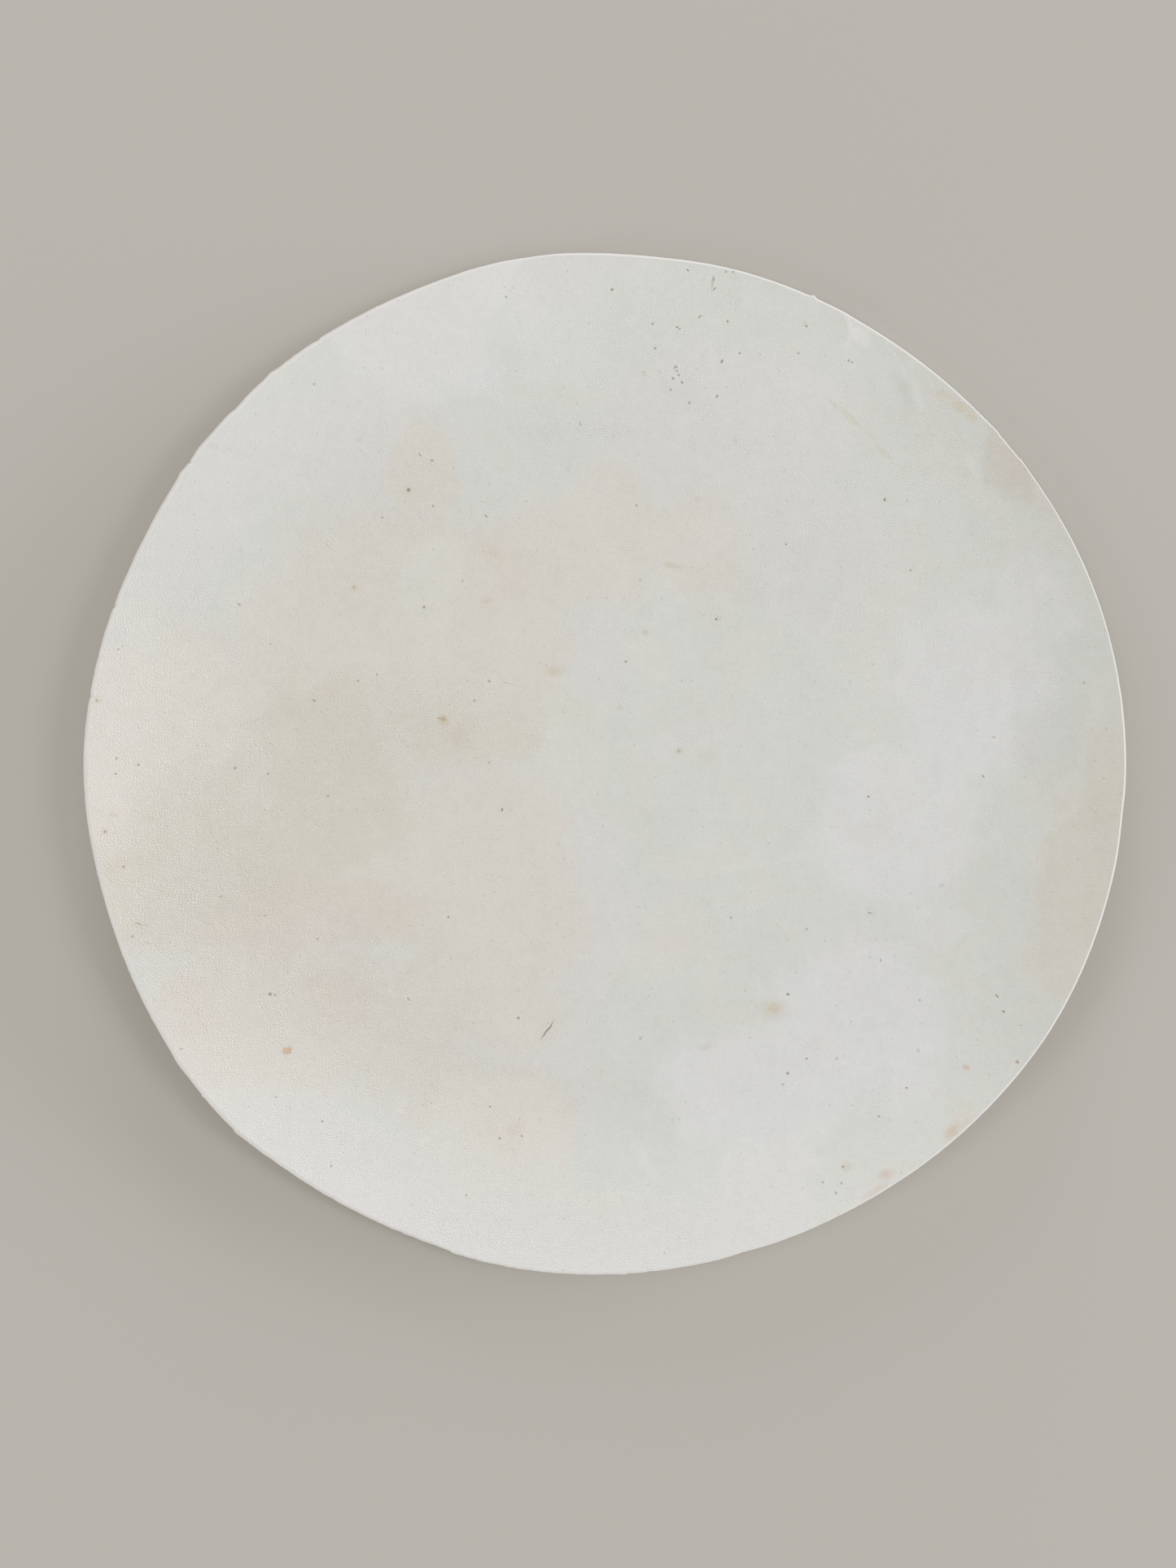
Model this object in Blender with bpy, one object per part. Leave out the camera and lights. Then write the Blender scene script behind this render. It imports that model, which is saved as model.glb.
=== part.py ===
"""A hand-cut round of white leather, lying grain side up with its rim lifting off the table.

Metres, +Z up. The origin is on the table, in the middle of the box that the outline fills.
Angles run anticlockwise from +X, seen from above. The piece of hide is one closed solid:
the flesh side underneath, the slanted cut round the rim, and the grain side on top.
"""

from bisect import bisect_right
from collections import namedtuple
from math import cos, exp, hypot, pi, radians, sin

import bmesh
import bpy

MM = 0.001

# The hide lies flat on the table inside this circle, and its rim lifts outside it.
THICKNESS = 2.5 * MM
FLAT_RADIUS = 120.0 * MM

# Rings between the flat middle and the rim, gathered towards the rim.
RINGS = 12
RING_GATHER = 1.5

# Steps round the rim, in degrees, and the sectors where a crease needs finer ones.
STEP = 3
FINE_STEP = 1
FINE_SECTORS = ((57, 69), (93, 117))

LEATHER_COLOUR = (0.64, 0.62, 0.57, 1.0)
LEATHER_ROUGHNESS = 0.62
SMOOTH_ANGLE = 30.0

# One row for each shoulder or flat of the hand-cut outline. Angle in degrees:
# reach  mm from the middle of the round to the flesh side's edge, in plan
# lift   mm of the flesh side's edge above the table
# curl   mm of width of the band that rises to that lift
# bend   1 for a straight slope from a hinge line, and more for a curl that steepens outwards
# skive  mm that the flesh side stands out past the grain side, where the knife leaned
Station = namedtuple("Station", "angle reach lift curl bend skive")
RIM = (
    Station(0, 254.3, 6.0, 58, 1.6, 1.4),
    Station(20, 254.9, 3.0, 50, 1.6, 1.2),
    Station(40, 253.1, 1.2, 45, 1.8, 1.2),
    Station(57, 251.7, 1.0, 45, 2.0, 1.4),
    Station(75, 251.2, 3.0, 55, 2.2, 1.4),
    Station(85, 250.2, 4.0, 60, 2.2, 1.6),
    Station(100, 251.1, 5.5, 70, 2.2, 1.6),
    Station(112, 249.0, 7.5, 85, 2.2, 2.0),
    Station(130, 249.4, 9.5, 95, 2.3, 2.4),
    Station(145, 249.2, 10.5, 100, 2.4, 2.7),
    Station(155, 248.6, 11.5, 105, 2.4, 2.7),
    Station(168, 250.3, 12.5, 110, 2.4, 2.6),
    Station(180, 251.7, 13.0, 115, 2.4, 2.5),
    Station(197, 250.3, 13.0, 115, 2.4, 2.3),
    Station(210, 251.6, 11.5, 110, 2.4, 2.3),
    Station(222, 253.5, 9.5, 95, 2.3, 2.4),
    Station(233, 250.9, 7.5, 80, 2.3, 2.2),
    Station(248, 249.4, 5.5, 65, 2.3, 1.8),
    Station(260, 250.0, 5.5, 60, 2.2, 1.6),
    Station(272, 248.9, 6.0, 65, 2.2, 1.6),
    Station(286, 247.6, 7.0, 75, 2.2, 1.4),
    Station(300, 247.8, 7.5, 80, 2.0, 1.4),
    Station(315, 249.4, 9.0, 80, 1.8, 1.4),
    Station(330, 251.3, 10.5, 78, 1.7, 1.4),
    Station(345, 252.8, 8.5, 68, 1.6, 1.4),
)

# Creases where the sheet has been bent over, each a line from the rim inwards. Angle on the
# rim and heading in degrees. In mm: length, height of the crest (below zero for a valley), and
# how far the sheet takes to settle again on the line's left and right, looking inwards.
Crease = namedtuple("Crease", "angle heading length height left right")
CREASES = (
    Crease(98.6, 228, 38, -1.8, 40, 9),
    Crease(62.4, 288, 24, 0.8, 5, 15),
)
CREST_ROUNDING = 1.5 * MM


def rim_at(angle):
    """Return the rim's station at an angle, on a smooth curve through the rows, in metres."""
    angles = [station.angle for station in RIM]
    here = bisect_right(angles, angle % 360) - 1
    rows = [RIM[(here + offset) % len(RIM)] for offset in (-1, 0, 1, 2)]
    before, start, end, after = rows
    span = (end.angle - start.angle) % 360
    start_run = (end.angle - before.angle) % 360
    end_run = (after.angle - start.angle) % 360
    t = (angle % 360 - start.angle) / span
    weights = (
        -(t**3 - 2 * t**2 + t) * span / start_run,
        2 * t**3 - 3 * t**2 + 1 - (t**3 - t**2) * span / end_run,
        3 * t**2 - 2 * t**3 + (t**3 - 2 * t**2 + t) * span / start_run,
        (t**3 - t**2) * span / end_run,
    )

    def blend(column):
        return sum(weight * getattr(row, column) for weight, row in zip(weights, rows))

    lengths = [blend(column) * MM for column in ("reach", "lift", "curl")]
    return Station(angle, *lengths, blend("bend"), blend("skive") * MM)


def curl_height(radius, station):
    """Return how high the curl lifts the flesh side, and its slope outwards."""
    foot = station.reach - station.curl
    share = max(0.0, (radius - foot) / station.curl)
    height = station.lift * share**station.bend
    slope = station.lift * station.bend * share ** (station.bend - 1) / station.curl
    return height, slope


def crease_height(x, y):
    """Return how far the creases lift the sheet at a point, or press it down."""
    total = 0.0
    for crease in CREASES:
        start = rim_at(crease.angle)
        from_x = x - start.reach * cos(radians(crease.angle))
        from_y = y - start.reach * sin(radians(crease.angle))
        heading = radians(crease.heading)
        along = from_x * cos(heading) + from_y * sin(heading)
        leftward = from_y * cos(heading) - from_x * sin(heading)
        share = min(max(along / (crease.length * MM), 0.0), 1.0)
        fade = cos(share * pi / 2) ** 2
        settle = (crease.left if leftward > 0 else crease.right) * MM
        off_line = hypot(leftward, CREST_ROUNDING) - CREST_ROUNDING
        total += crease.height * MM * fade * exp(-off_line / settle)
    return total


def sheet_point(share, edge, station, above):
    """Return a point of one side, from the flat middle (share 0) to the edge (share 1)."""
    radius = FLAT_RADIUS + (edge - FLAT_RADIUS) * share
    x = radius * cos(radians(station.angle))
    y = radius * sin(radians(station.angle))
    height, slope = curl_height(radius, station)
    height = max(0.0, height + crease_height(x, y))
    return x, y, height + above * hypot(1.0, slope)


def section_angles():
    """Return the angles of the sections round the sheet, closer together at the creases."""
    angles = set(range(0, 360, STEP))
    for first, last in FINE_SECTORS:
        angles.update(range(first, last, FINE_STEP))
    return sorted(angles)


def ring_shares():
    """Return how far out each ring lies, from the flat middle (0) to the edge (1)."""
    return [1 - (1 - ring / RINGS) ** RING_GATHER for ring in range(RINGS + 1)]


def add_ring(mesh, points):
    """Add one ring of vertices and return them in order."""
    return [mesh.verts.new(point) for point in points]


def add_band(mesh, ring, following):
    """Join one ring to the one after it with a band of four-sided faces, facing outwards."""
    for face in zip(ring, ring[1:] + ring[:1], following[1:] + following[:1], following):
        mesh.faces.new(face)


def centre_in_plan(mesh):
    """Move the sheet so that the middle of its outline's box is over the origin."""
    xs = [vertex.co.x for vertex in mesh.verts]
    ys = [vertex.co.y for vertex in mesh.verts]
    shift = (-(min(xs) + max(xs)) / 2, -(min(ys) + max(ys)) / 2, 0.0)
    bmesh.ops.translate(mesh, verts=mesh.verts, vec=shift)


def leather_material():
    """Return the plain material of the leather."""
    material = bpy.data.materials.new("white_leather")
    material.use_nodes = True
    shader = material.node_tree.nodes["Principled BSDF"]
    shader.inputs["Base Color"].default_value = LEATHER_COLOUR
    shader.inputs["Roughness"].default_value = LEATHER_ROUGHNESS
    shader.inputs["Metallic"].default_value = 0.0
    material.diffuse_color = LEATHER_COLOUR
    return material


def make_hide():
    """Build the sheet: out along the flesh side, up the cut edge and back along the grain."""
    stations = [rim_at(angle) for angle in section_angles()]
    mesh = bmesh.new()
    flesh_rings = [
        add_ring(mesh, [sheet_point(share, s.reach, s, 0.0) for s in stations])
        for share in ring_shares()
    ]
    grain_rings = [
        add_ring(mesh, [sheet_point(share, s.reach - s.skive, s, THICKNESS) for s in stations])
        for share in reversed(ring_shares())
    ]
    rings = flesh_rings + grain_rings
    for ring, following in zip(rings, rings[1:]):
        add_band(mesh, ring, following)
    mesh.faces.new(reversed(rings[0]))
    mesh.faces.new(rings[-1])
    centre_in_plan(mesh)

    data = bpy.data.meshes.new("hide")
    mesh.to_mesh(data)
    mesh.free()
    data.materials.append(leather_material())
    data.shade_smooth()
    data.set_sharp_from_angle(angle=radians(SMOOTH_ANGLE))
    hide = bpy.data.objects.new("hide", data)
    bpy.context.scene.collection.objects.link(hide)
    return hide


for leftover in list(bpy.data.objects):
    bpy.data.objects.remove(leftover, do_unlink=True)

make_hide()
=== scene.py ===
"""The looks of a hand-cut round of white leather, lying grain side up with its rim lifting.

Metres, +Z up, in the part's own frame: the origin is on the floor, in the middle of the box
that the outline fills. Angles run anticlockwise from +X, seen from above. The place of a mark
on the leather is written as the photograph shows it, in pixels across and down, and is worked
out in metres through the camera that stands over the hide.
"""

from collections import namedtuple
from math import cos, pi, radians, sin

import bpy
import numpy as np
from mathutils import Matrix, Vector, noise


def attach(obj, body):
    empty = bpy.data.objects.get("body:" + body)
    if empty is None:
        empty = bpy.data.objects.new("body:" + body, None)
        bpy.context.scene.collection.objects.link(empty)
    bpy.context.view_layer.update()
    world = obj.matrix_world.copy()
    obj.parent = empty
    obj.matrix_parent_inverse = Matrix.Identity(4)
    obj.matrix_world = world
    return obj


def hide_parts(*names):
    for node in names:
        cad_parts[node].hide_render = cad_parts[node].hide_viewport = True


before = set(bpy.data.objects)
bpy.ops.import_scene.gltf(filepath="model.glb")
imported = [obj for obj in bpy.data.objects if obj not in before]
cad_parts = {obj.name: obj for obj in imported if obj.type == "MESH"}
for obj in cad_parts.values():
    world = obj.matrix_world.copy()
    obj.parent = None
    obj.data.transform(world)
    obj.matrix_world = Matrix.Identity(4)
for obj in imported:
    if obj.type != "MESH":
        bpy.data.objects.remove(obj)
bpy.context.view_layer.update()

MM = 0.001

# The photograph, and the camera that took it: straight above the hide, +Y up in the picture.
PHOTO_WIDTH = 1445
PHOTO_HEIGHT = 1927
FOCAL_PIXELS = 1444
SENSOR_LONG_SIDE = 36.0
CAMERA_FOOT = (-9.66 * MM, -10.28 * MM)
CAMERA_HEIGHT = 580.0 * MM

# How many times the height of the hide under a pixel is looked up again, closer each time.
SIGHT_ROUNDS = 4

# The hide lies flat on the floor in the middle, and its rim lifts. The floor is a hair lower,
# so that the two never share a plane.
THICKNESS = 2.5 * MM
FLOOR_DROP = 0.2 * MM

# One row for each shoulder or flat of the hand-cut outline. Angle in degrees:
# reach  mm from the middle of the round to the flesh side's edge, in plan
# lift   mm of the flesh side's edge above the floor
# curl   mm of width of the band that rises to that lift
# bend   1 for a straight slope from a hinge line, and more for a curl that steepens outwards
# skive  mm that the flesh side stands out past the grain side, where the knife leaned
Station = namedtuple("Station", "angle reach lift curl bend skive")
RIM = (
    Station(0, 254.3, 6.0, 58, 1.6, 1.4),
    Station(20, 254.9, 3.0, 50, 1.6, 1.2),
    Station(40, 253.1, 1.2, 45, 1.8, 1.2),
    Station(57, 251.7, 1.0, 45, 2.0, 1.4),
    Station(75, 251.2, 3.0, 55, 2.2, 1.4),
    Station(85, 250.2, 4.0, 60, 2.2, 1.6),
    Station(100, 251.1, 5.5, 70, 2.2, 1.6),
    Station(112, 249.0, 7.5, 85, 2.2, 2.0),
    Station(130, 249.4, 9.5, 95, 2.3, 2.4),
    Station(145, 249.2, 10.5, 100, 2.4, 2.7),
    Station(155, 248.6, 11.5, 105, 2.4, 2.7),
    Station(168, 250.3, 12.5, 110, 2.4, 2.6),
    Station(180, 251.7, 13.0, 115, 2.4, 2.5),
    Station(197, 250.3, 13.0, 115, 2.4, 2.3),
    Station(210, 251.6, 11.5, 110, 2.4, 2.3),
    Station(222, 253.5, 9.5, 95, 2.3, 2.4),
    Station(233, 250.9, 7.5, 80, 2.3, 2.2),
    Station(248, 249.4, 5.5, 65, 2.3, 1.8),
    Station(260, 250.0, 5.5, 60, 2.2, 1.6),
    Station(272, 248.9, 6.0, 65, 2.2, 1.6),
    Station(286, 247.6, 7.0, 75, 2.2, 1.4),
    Station(300, 247.8, 7.5, 80, 2.0, 1.4),
    Station(315, 249.4, 9.0, 80, 1.8, 1.4),
    Station(330, 251.3, 10.5, 78, 1.7, 1.4),
    Station(345, 252.8, 8.5, 68, 1.6, 1.4),
)

# Degrees between the points of the outline whose box has the origin in its middle.
OUTLINE_STEP = 3

# Creases where the sheet has been bent over, each a line from the rim inwards. Angle on the
# rim and heading in degrees. In mm: length, height of the crest (below zero for a valley), and
# how far the sheet takes to settle again on the line's left and right, looking inwards.
Crease = namedtuple("Crease", "angle heading length height left right")
CREASES = (
    Crease(98.6, 228, 38, -1.8, 40, 9),
    Crease(62.4, 288, 24, 0.8, 5, 15),
)
CREST_ROUNDING = 1.5 * MM

# Where the knife stepped, slipped or swung wide: degrees, mm that the edge stands out there (in
# where it is below zero), and mm of rim that it takes to come back, clockwise and anticlockwise.
Slip = namedtuple("Slip", "angle out clockwise anticlockwise")
SLIPS = (
    Slip(36.3, 0.35, 6.0, 0.5),
    Slip(40.1, 0.35, 0.5, 7.0),
    Slip(66.0, 0.90, 1.2, 1.2),
    Slip(96.0, 0.50, 22.0, 18.0),
    Slip(124.1, -0.45, 0.8, 2.0),
    Slip(130.5, 0.60, 3.0, 3.0),
    Slip(135.8, -0.60, 5.0, 5.0),
    Slip(142.0, 0.45, 4.0, 4.0),
    Slip(144.0, -0.50, 0.8, 0.8),
    Slip(145.5, 0.50, 2.5, 2.5),
    Slip(162.2, -0.60, 1.0, 1.0),
    Slip(172.5, -0.50, 1.0, 1.4),
    Slip(215.0, 0.40, 5.0, 5.0),
    Slip(219.6, 0.60, 0.6, 0.6),
    Slip(220.0, -0.42, 22.0, 18.0),
    Slip(224.7, 0.45, 0.5, 9.0),
    Slip(252.4, 0.50, 0.6, 26.0),
    Slip(272.3, 0.40, 5.0, 0.6),
    Slip(286.0, -0.45, 8.0, 9.0),
    Slip(354.0, -0.45, 14.0, 13.0),
)

# How far the knife trembled round the rim: degrees, and mm.
Raggedness = namedtuple("Raggedness", "angle rough")
RAGGED = (
    Raggedness(0, 0.05),
    Raggedness(60, 0.07),
    Raggedness(100, 0.07),
    Raggedness(150, 0.12),
    Raggedness(205, 0.14),
    Raggedness(250, 0.20),
    Raggedness(285, 0.14),
    Raggedness(320, 0.06),
)

# The cut from the flesh side up to the grain: how far through the leather each row of points
# is (0 to 1), and how much of the skive it still stands out (1 to 0). A groove runs along it.
CutRow = namedtuple("CutRow", "through out")
CUT_ROWS = (
    CutRow(0.00, 1.00),
    CutRow(0.07, 1.00),
    CutRow(0.46, 0.50),
    CutRow(0.53, 0.37),
    CutRow(0.60, 0.36),
    CutRow(0.90, 0.05),
    CutRow(1.00, -0.10),
)
GRAIN_EDGE_DROP = 0.05 * MM

# Painted shade on the lower half of the cut, round the rim: degrees, and share. It is painted in
# full up to the first of these shares of the thickness, and clear above the second.
CutPaintedShade = namedtuple("CutPaintedShade", "angle share")
CUT_PAINTED_SHADE = (
    CutPaintedShade(0, 0.08),
    CutPaintedShade(45, 0.05),
    CutPaintedShade(75, 0.10),
    CutPaintedShade(90, 0.20),
    CutPaintedShade(105, 0.32),
    CutPaintedShade(120, 0.55),
    CutPaintedShade(135, 0.38),
    CutPaintedShade(150, 0.55),
    CutPaintedShade(165, 0.42),
    CutPaintedShade(180, 0.25),
    CutPaintedShade(210, 0.20),
    CutPaintedShade(240, 0.08),
    CutPaintedShade(255, 0.18),
    CutPaintedShade(270, 0.10),
    CutPaintedShade(285, 0.00),
    CutPaintedShade(345, 0.08),
)
CUT_PAINTED_SHADE_UP_TO = (0.20, 0.55)

# Points round the rim, and the rings of points inwards from it: points in a ring, mm from the
# rim to the innermost ring of that many points, and mm between rings.
RIM_POINTS = 1440
Band = namedtuple("Band", "points to step")
GRAIN_BANDS = (
    Band(RIM_POINTS, 1.0, 0.5),
    Band(RIM_POINTS, 10.5, 1.1),
    Band(720, 128, 2.0),
    Band(360, 190, 2.1),
    Band(180, 220, 3.0),
    Band(90, 244, 4.0),
)
FLESH_BANDS = (
    Band(RIM_POINTS, 3.0, 1.5),
    Band(720, 18, 3.0),
    Band(360, 130, 5.0),
    Band(180, 205, 7.0),
    Band(90, 242, 9.0),
)
MEAN_RADIUS = 250.0 * MM

# Smooth unevenness: mm for one wave, how many layers of waves it has, and where its pattern
# starts. The waves of each layer are half as long and half as high as those of the one before.
Wave = namedtuple("Wave", "pitch layers start")
LAYER_FALL = 1.0
LAYER_STEP = 2.0

# The grain side billows, and the knife trembled in long waves and, by this share, in short ones.
BILLOWS = Wave(34.0, 3, 0.7)
BILLOW_DEPTH = 0.16 * MM
TREMBLE = Wave(5.0, 3, 3.1)
SHIVER = Wave(1.6, 2, 9.4)
SHIVER_SHARE = 0.6

# Dents and ridges in the sheet. Pixels across and down, mm long and wide, degrees that the
# length is turned from the picture's own across, and mm of height, below zero for a dent.
Dent = namedtuple("Dent", "across down long wide turn height")
DENTS = (
    Dent(1121, 486, 14, 6, -72, 0.22),
    Dent(1103, 484, 18, 8, -68, -0.20),
    Dent(1196, 584, 10, 6, -60, 0.16),
    Dent(1206, 600, 14, 7, -60, -0.16),
    Dent(1180, 650, 26, 16, 70, -0.15),
    Dent(1030, 745, 60, 9, 62, 0.16),
    Dent(930, 1063, 76, 7, 10, 0.16),
    Dent(790, 1425, 22, 6, -62, 0.12),
    Dent(488, 1222, 16, 4, -35, 0.12),
)

# Marks on the grain side. Pixels across and down, mm long and wide, degrees that the length is
# turned from the picture's own across, softness of the outline from 0 to 1, and strength, which
# is 1 where a mark covers all that is under it.
Mark = namedtuple("Mark", "across down long wide turn soft strength")


def patches(*rows):
    """Return marks from rows of across, down, long, wide, turn, softness and strength."""
    return [Mark(*row) for row in rows]


# Tints of the grain side, laid over the white one by one in the order of TINTS. Colours are
# linear.
Tint = namedtuple("Tint", "colour marks")
WHITE = (0.662, 0.700, 0.645, 1.0)
LILAC = Tint((0.715, 0.708, 0.694, 1.0), patches(
    (420, 545, 112, 52, 8, 0.22, 0.80),
    (215, 640, 64, 120, -28, 0.22, 0.70),
    (895, 530, 122, 80, 0, 0.22, 0.80),
    (1015, 690, 80, 66, 0, 0.22, 0.75),
    (725, 800, 32, 62, 0, 0.22, 0.75),
    (700, 1120, 62, 96, 0, 0.22, 0.85),
    (665, 1330, 50, 92, 0, 0.22, 0.70),
    (860, 905, 50, 14, 10, 0.26, 0.60),
))
CREAM = Tint((0.725, 0.662, 0.548, 1.0), patches(
    (500, 795, 165, 132, 0, 0.16, 0.95),
    (512, 575, 32, 50, 0, 0.20, 0.80),
    (680, 680, 76, 56, 0, 0.22, 0.80),
    (755, 660, 44, 72, 0, 0.22, 0.70),
    (300, 965, 70, 70, 0, 0.22, 0.85),
    (148, 965, 44, 120, 0, 0.22, 0.85),
    (470, 1055, 70, 80, 0, 0.22, 0.85),
    (480, 1265, 74, 66, 0, 0.22, 0.80),
    (655, 1445, 46, 44, 40, 0.22, 0.75),
    (862, 672, 54, 50, 0, 0.22, 0.65),
    (215, 875, 78, 84, 0, 0.18, 0.85),
    (605, 1120, 92, 138, 0, 0.18, 0.90),
    (350, 1255, 130, 78, 0, 0.20, 0.90),
    (600, 1385, 86, 72, 0, 0.18, 0.85),
    (590, 1513, 150, 34, 3, 0.22, 0.90),
    (275, 1385, 60, 22, -48, 0.30, 0.75),
    (860, 1065, 34, 16, 10, 0.50, 0.35),
    (822, 1140, 36, 28, 60, 0.50, 0.40),
    (1160, 560, 60, 16, -45, 0.50, 0.30),
))
COOL = Tint((0.778, 0.796, 0.838, 1.0), patches(
    (510, 425, 76, 50, -12, 0.26, 0.90),
    (1195, 855, 80, 88, 20, 0.22, 0.85),
    (1268, 745, 40, 54, 15, 0.26, 0.75),
    (1105, 1015, 80, 78, 0, 0.22, 0.85),
    (1058, 1255, 84, 84, 30, 0.22, 0.95),
    (930, 1335, 98, 58, 0, 0.22, 0.95),
    (950, 1438, 48, 46, 0, 0.26, 0.80),
    (1150, 1133, 28, 16, 0, 0.50, 0.60),
    (415, 1425, 80, 40, -22, 0.50, 0.55),
))
OLIVE = Tint((0.643, 0.590, 0.440, 1.0), patches(
    (395, 900, 62, 62, 0, 0.10, 0.85),
    (575, 900, 84, 34, 0, 0.16, 0.50),
    (405, 995, 70, 64, 0, 0.25, 0.85),
    (337, 1072, 54, 52, 0, 0.25, 0.85),
    (222, 1075, 96, 76, 0, 0.16, 0.80),
    (140, 1060, 22, 60, 0, 0.30, 0.60),
    (262, 950, 30, 26, 0, 0.22, 0.60),
    (150, 1150, 18, 56, -18, 0.50, 0.40),
))
PALE_CREAM = Tint((0.850, 0.765, 0.635, 1.0), patches(
    (200, 865, 70, 66, 0, 0.25, 0.75),
    (148, 965, 30, 70, 0, 0.30, 0.50),
    (605, 1400, 76, 60, 0, 0.25, 0.75),
    (600, 1510, 140, 26, 2, 0.30, 0.90),
    (275, 1385, 56, 16, -48, 0.30, 0.60),
))
GREENISH = Tint((0.715, 0.752, 0.610, 1.0), patches(
    (705, 915, 32, 48, 10, 0.22, 0.85),
    (532, 722, 24, 56, -14, 0.22, 0.60),
    (797, 810, 24, 22, 0, 0.22, 0.75),
    (172, 775, 24, 40, 25, 0.26, 0.65),
    (490, 1476, 32, 12, 24, 0.30, 0.70),
))
PINK = Tint((0.685, 0.570, 0.465, 1.0), patches(
    (380, 1130, 112, 32, 4, 0.25, 0.80),
    (242, 1240, 24, 34, 30, 0.20, 0.70),
    (415, 1230, 34, 20, -40, 0.20, 0.60),
    (655, 690, 50, 42, 0, 0.22, 0.35),
    (490, 1180, 10, 6, 0, 0.22, 0.50),
    (128, 1060, 10, 22, 0, 0.50, 0.45),
    (884, 715, 36, 22, 0, 0.50, 0.35),
    (1080, 740, 30, 40, 0, 0.60, 0.18),
))
TAN = Tint((0.655, 0.590, 0.470, 1.0), patches(
    (1372, 940, 30, 44, -6, 0.25, 0.70),
    (1362, 1010, 44, 44, -6, 0.22, 0.80),
    (1340, 1090, 50, 66, -14, 0.22, 0.80),
    (1312, 1180, 40, 44, -28, 0.30, 0.70),
    (1178, 1375, 22, 13, 45, 0.40, 0.60),
    (1100, 1450, 40, 8, 32, 0.60, 0.35),
    (1172, 494, 28, 8, -42, 0.40, 0.40),
    (1285, 628, 26, 10, -58, 0.50, 0.50),
))
# Painted shade on the right part of the hide, where its rim curls away from the light.
PAINTED_SHADE = Tint((0.570, 0.598, 0.565, 1.0), patches(
    (1292, 905, 34, 46, 0, 0.50, 0.70),
    (1000, 700, 80, 60, 0, 0.70, 0.40),
))
RUST = Tint((0.560, 0.522, 0.450, 1.0), patches(
    (1240, 567, 40, 21, -52, 0.20, 0.85),
    (1262, 602, 20, 14, -55, 0.25, 0.70),
    (1275, 617, 10, 8, -55, 0.30, 0.60),
))
BROWN = Tint((0.575, 0.480, 0.415, 1.0), patches(
    (1247, 572, 34, 7, -52, 0.40, 0.60),
    (1222, 545, 12, 6, -48, 0.40, 0.50),
))
TINTS = (LILAC, CREAM, COOL, OLIVE, PALE_CREAM, GREENISH, PINK, TAN, PAINTED_SHADE, RUST, BROWN)

# How far the tints' outlines wander, and the waves in which they do.
TINT_REACH = 9.0 * MM
TINT_WANDER_ACROSS = Wave(22.0, 4, 11.3)
TINT_WANDER_DOWN = Wave(22.0, 4, 47.9)

# Painted light and shade round the rim, lighter along most of it and darker at the right: degrees,
# and how many times as light the rim is painted there. The change sets in between these shares of
# the radius, slowly at first, and white leather gives back no more of the light than WHITEST.
Margin = namedtuple("Margin", "angle whiter")
RIM_PAINTED_LIGHT = (
    Margin(0, 0.92),
    Margin(15, 0.85),
    Margin(30, 0.84),
    Margin(50, 0.90),
    Margin(60, 1.14),
    Margin(80, 1.24),
    Margin(100, 1.42),
    Margin(125, 1.20),
    Margin(150, 1.06),
    Margin(180, 1.17),
    Margin(200, 0.95),
    Margin(215, 1.12),
    Margin(225, 1.40),
    Margin(240, 1.50),
    Margin(260, 1.50),
    Margin(280, 1.50),
    Margin(300, 1.24),
    Margin(315, 1.15),
    Margin(330, 0.90),
    Margin(345, 0.87),
)
RIM_PAINTED_LIGHT_SHARES = (0.65, 0.97)
RIM_PAINTED_LIGHT_BEND = 1.2
WHITEST = 0.90

# How far the white drifts from place to place, lighter in one wave and warmer in another.
Drift = namedtuple("Drift", "lighter light_wave warmer warm_wave")
DRIFTS = (
    Drift(0.05, Wave(38, 3, 38), 0.03, Wave(38, 3, 78)),
    Drift(0.05, Wave(11, 3, 11), 0.02, Wave(11, 3, 51)),
)

# Painted highlights on the lit flanks of creases and ridges, and painted shade in dents. Laid on
# where they are, without the wander of the tints' outlines.
PAINTED_CREASE_HIGHLIGHTS = Tint((0.850, 0.895, 0.830, 1.0), patches(
    (634, 330, 18, 10, 50, 0.40, 0.70),
    (614, 356, 22, 8, 54, 0.35, 0.75),
    (599, 382, 9, 4, 56, 0.45, 0.60),
    (1041, 391, 7, 2.0, -60, 0.40, 0.80),
    (1045, 404, 7, 2.2, -82, 0.35, 1.00),
    (1041, 421, 9, 1.8, 72, 0.35, 1.00),
    (1046, 447, 10, 1.0, -60, 0.50, 0.30),
    (1126, 484, 15, 4.0, -72, 0.50, 0.60),
    (1112, 462, 12, 2.4, -66, 0.60, 0.35),
    (1193, 572, 9, 3, -60, 0.60, 0.60),
    (483, 1222, 13, 2.0, -25, 0.60, 0.45),
    (1018, 765, 30, 3, 62, 0.70, 0.30),
    (935, 1062, 60, 2.2, 10, 0.70, 0.30),
    (788, 1420, 22, 5, -62, 0.70, 0.45),
))
PAINTED_BLUISH_HIGHLIGHTS = Tint((0.850, 0.860, 0.880, 1.0), patches(
    (1057, 413, 11, 7, -40, 0.40, 0.75),
    (592, 350, 20, 14, 40, 0.50, 0.60),
))
PAINTED_DENT_SHADE = Tint((0.560, 0.575, 0.530, 1.0), patches(
    (1105, 472, 12, 6, -60, 0.60, 0.50),
    (1138, 472, 12, 3, -75, 0.60, 0.40),
    (1188, 583, 4, 4, 0, 0.60, 0.60),
    (1141, 578, 7, 4, 10, 0.60, 0.45),
    (1208, 566, 2.4, 22, 4, 0.50, 0.60),
    (1073, 1018, 18, 12, 20, 0.70, 0.25),
))
PAINTED_CREASE_LIGHT = (PAINTED_CREASE_HIGHLIGHTS, PAINTED_BLUISH_HIGHLIGHTS, PAINTED_DENT_SHADE)

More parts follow.
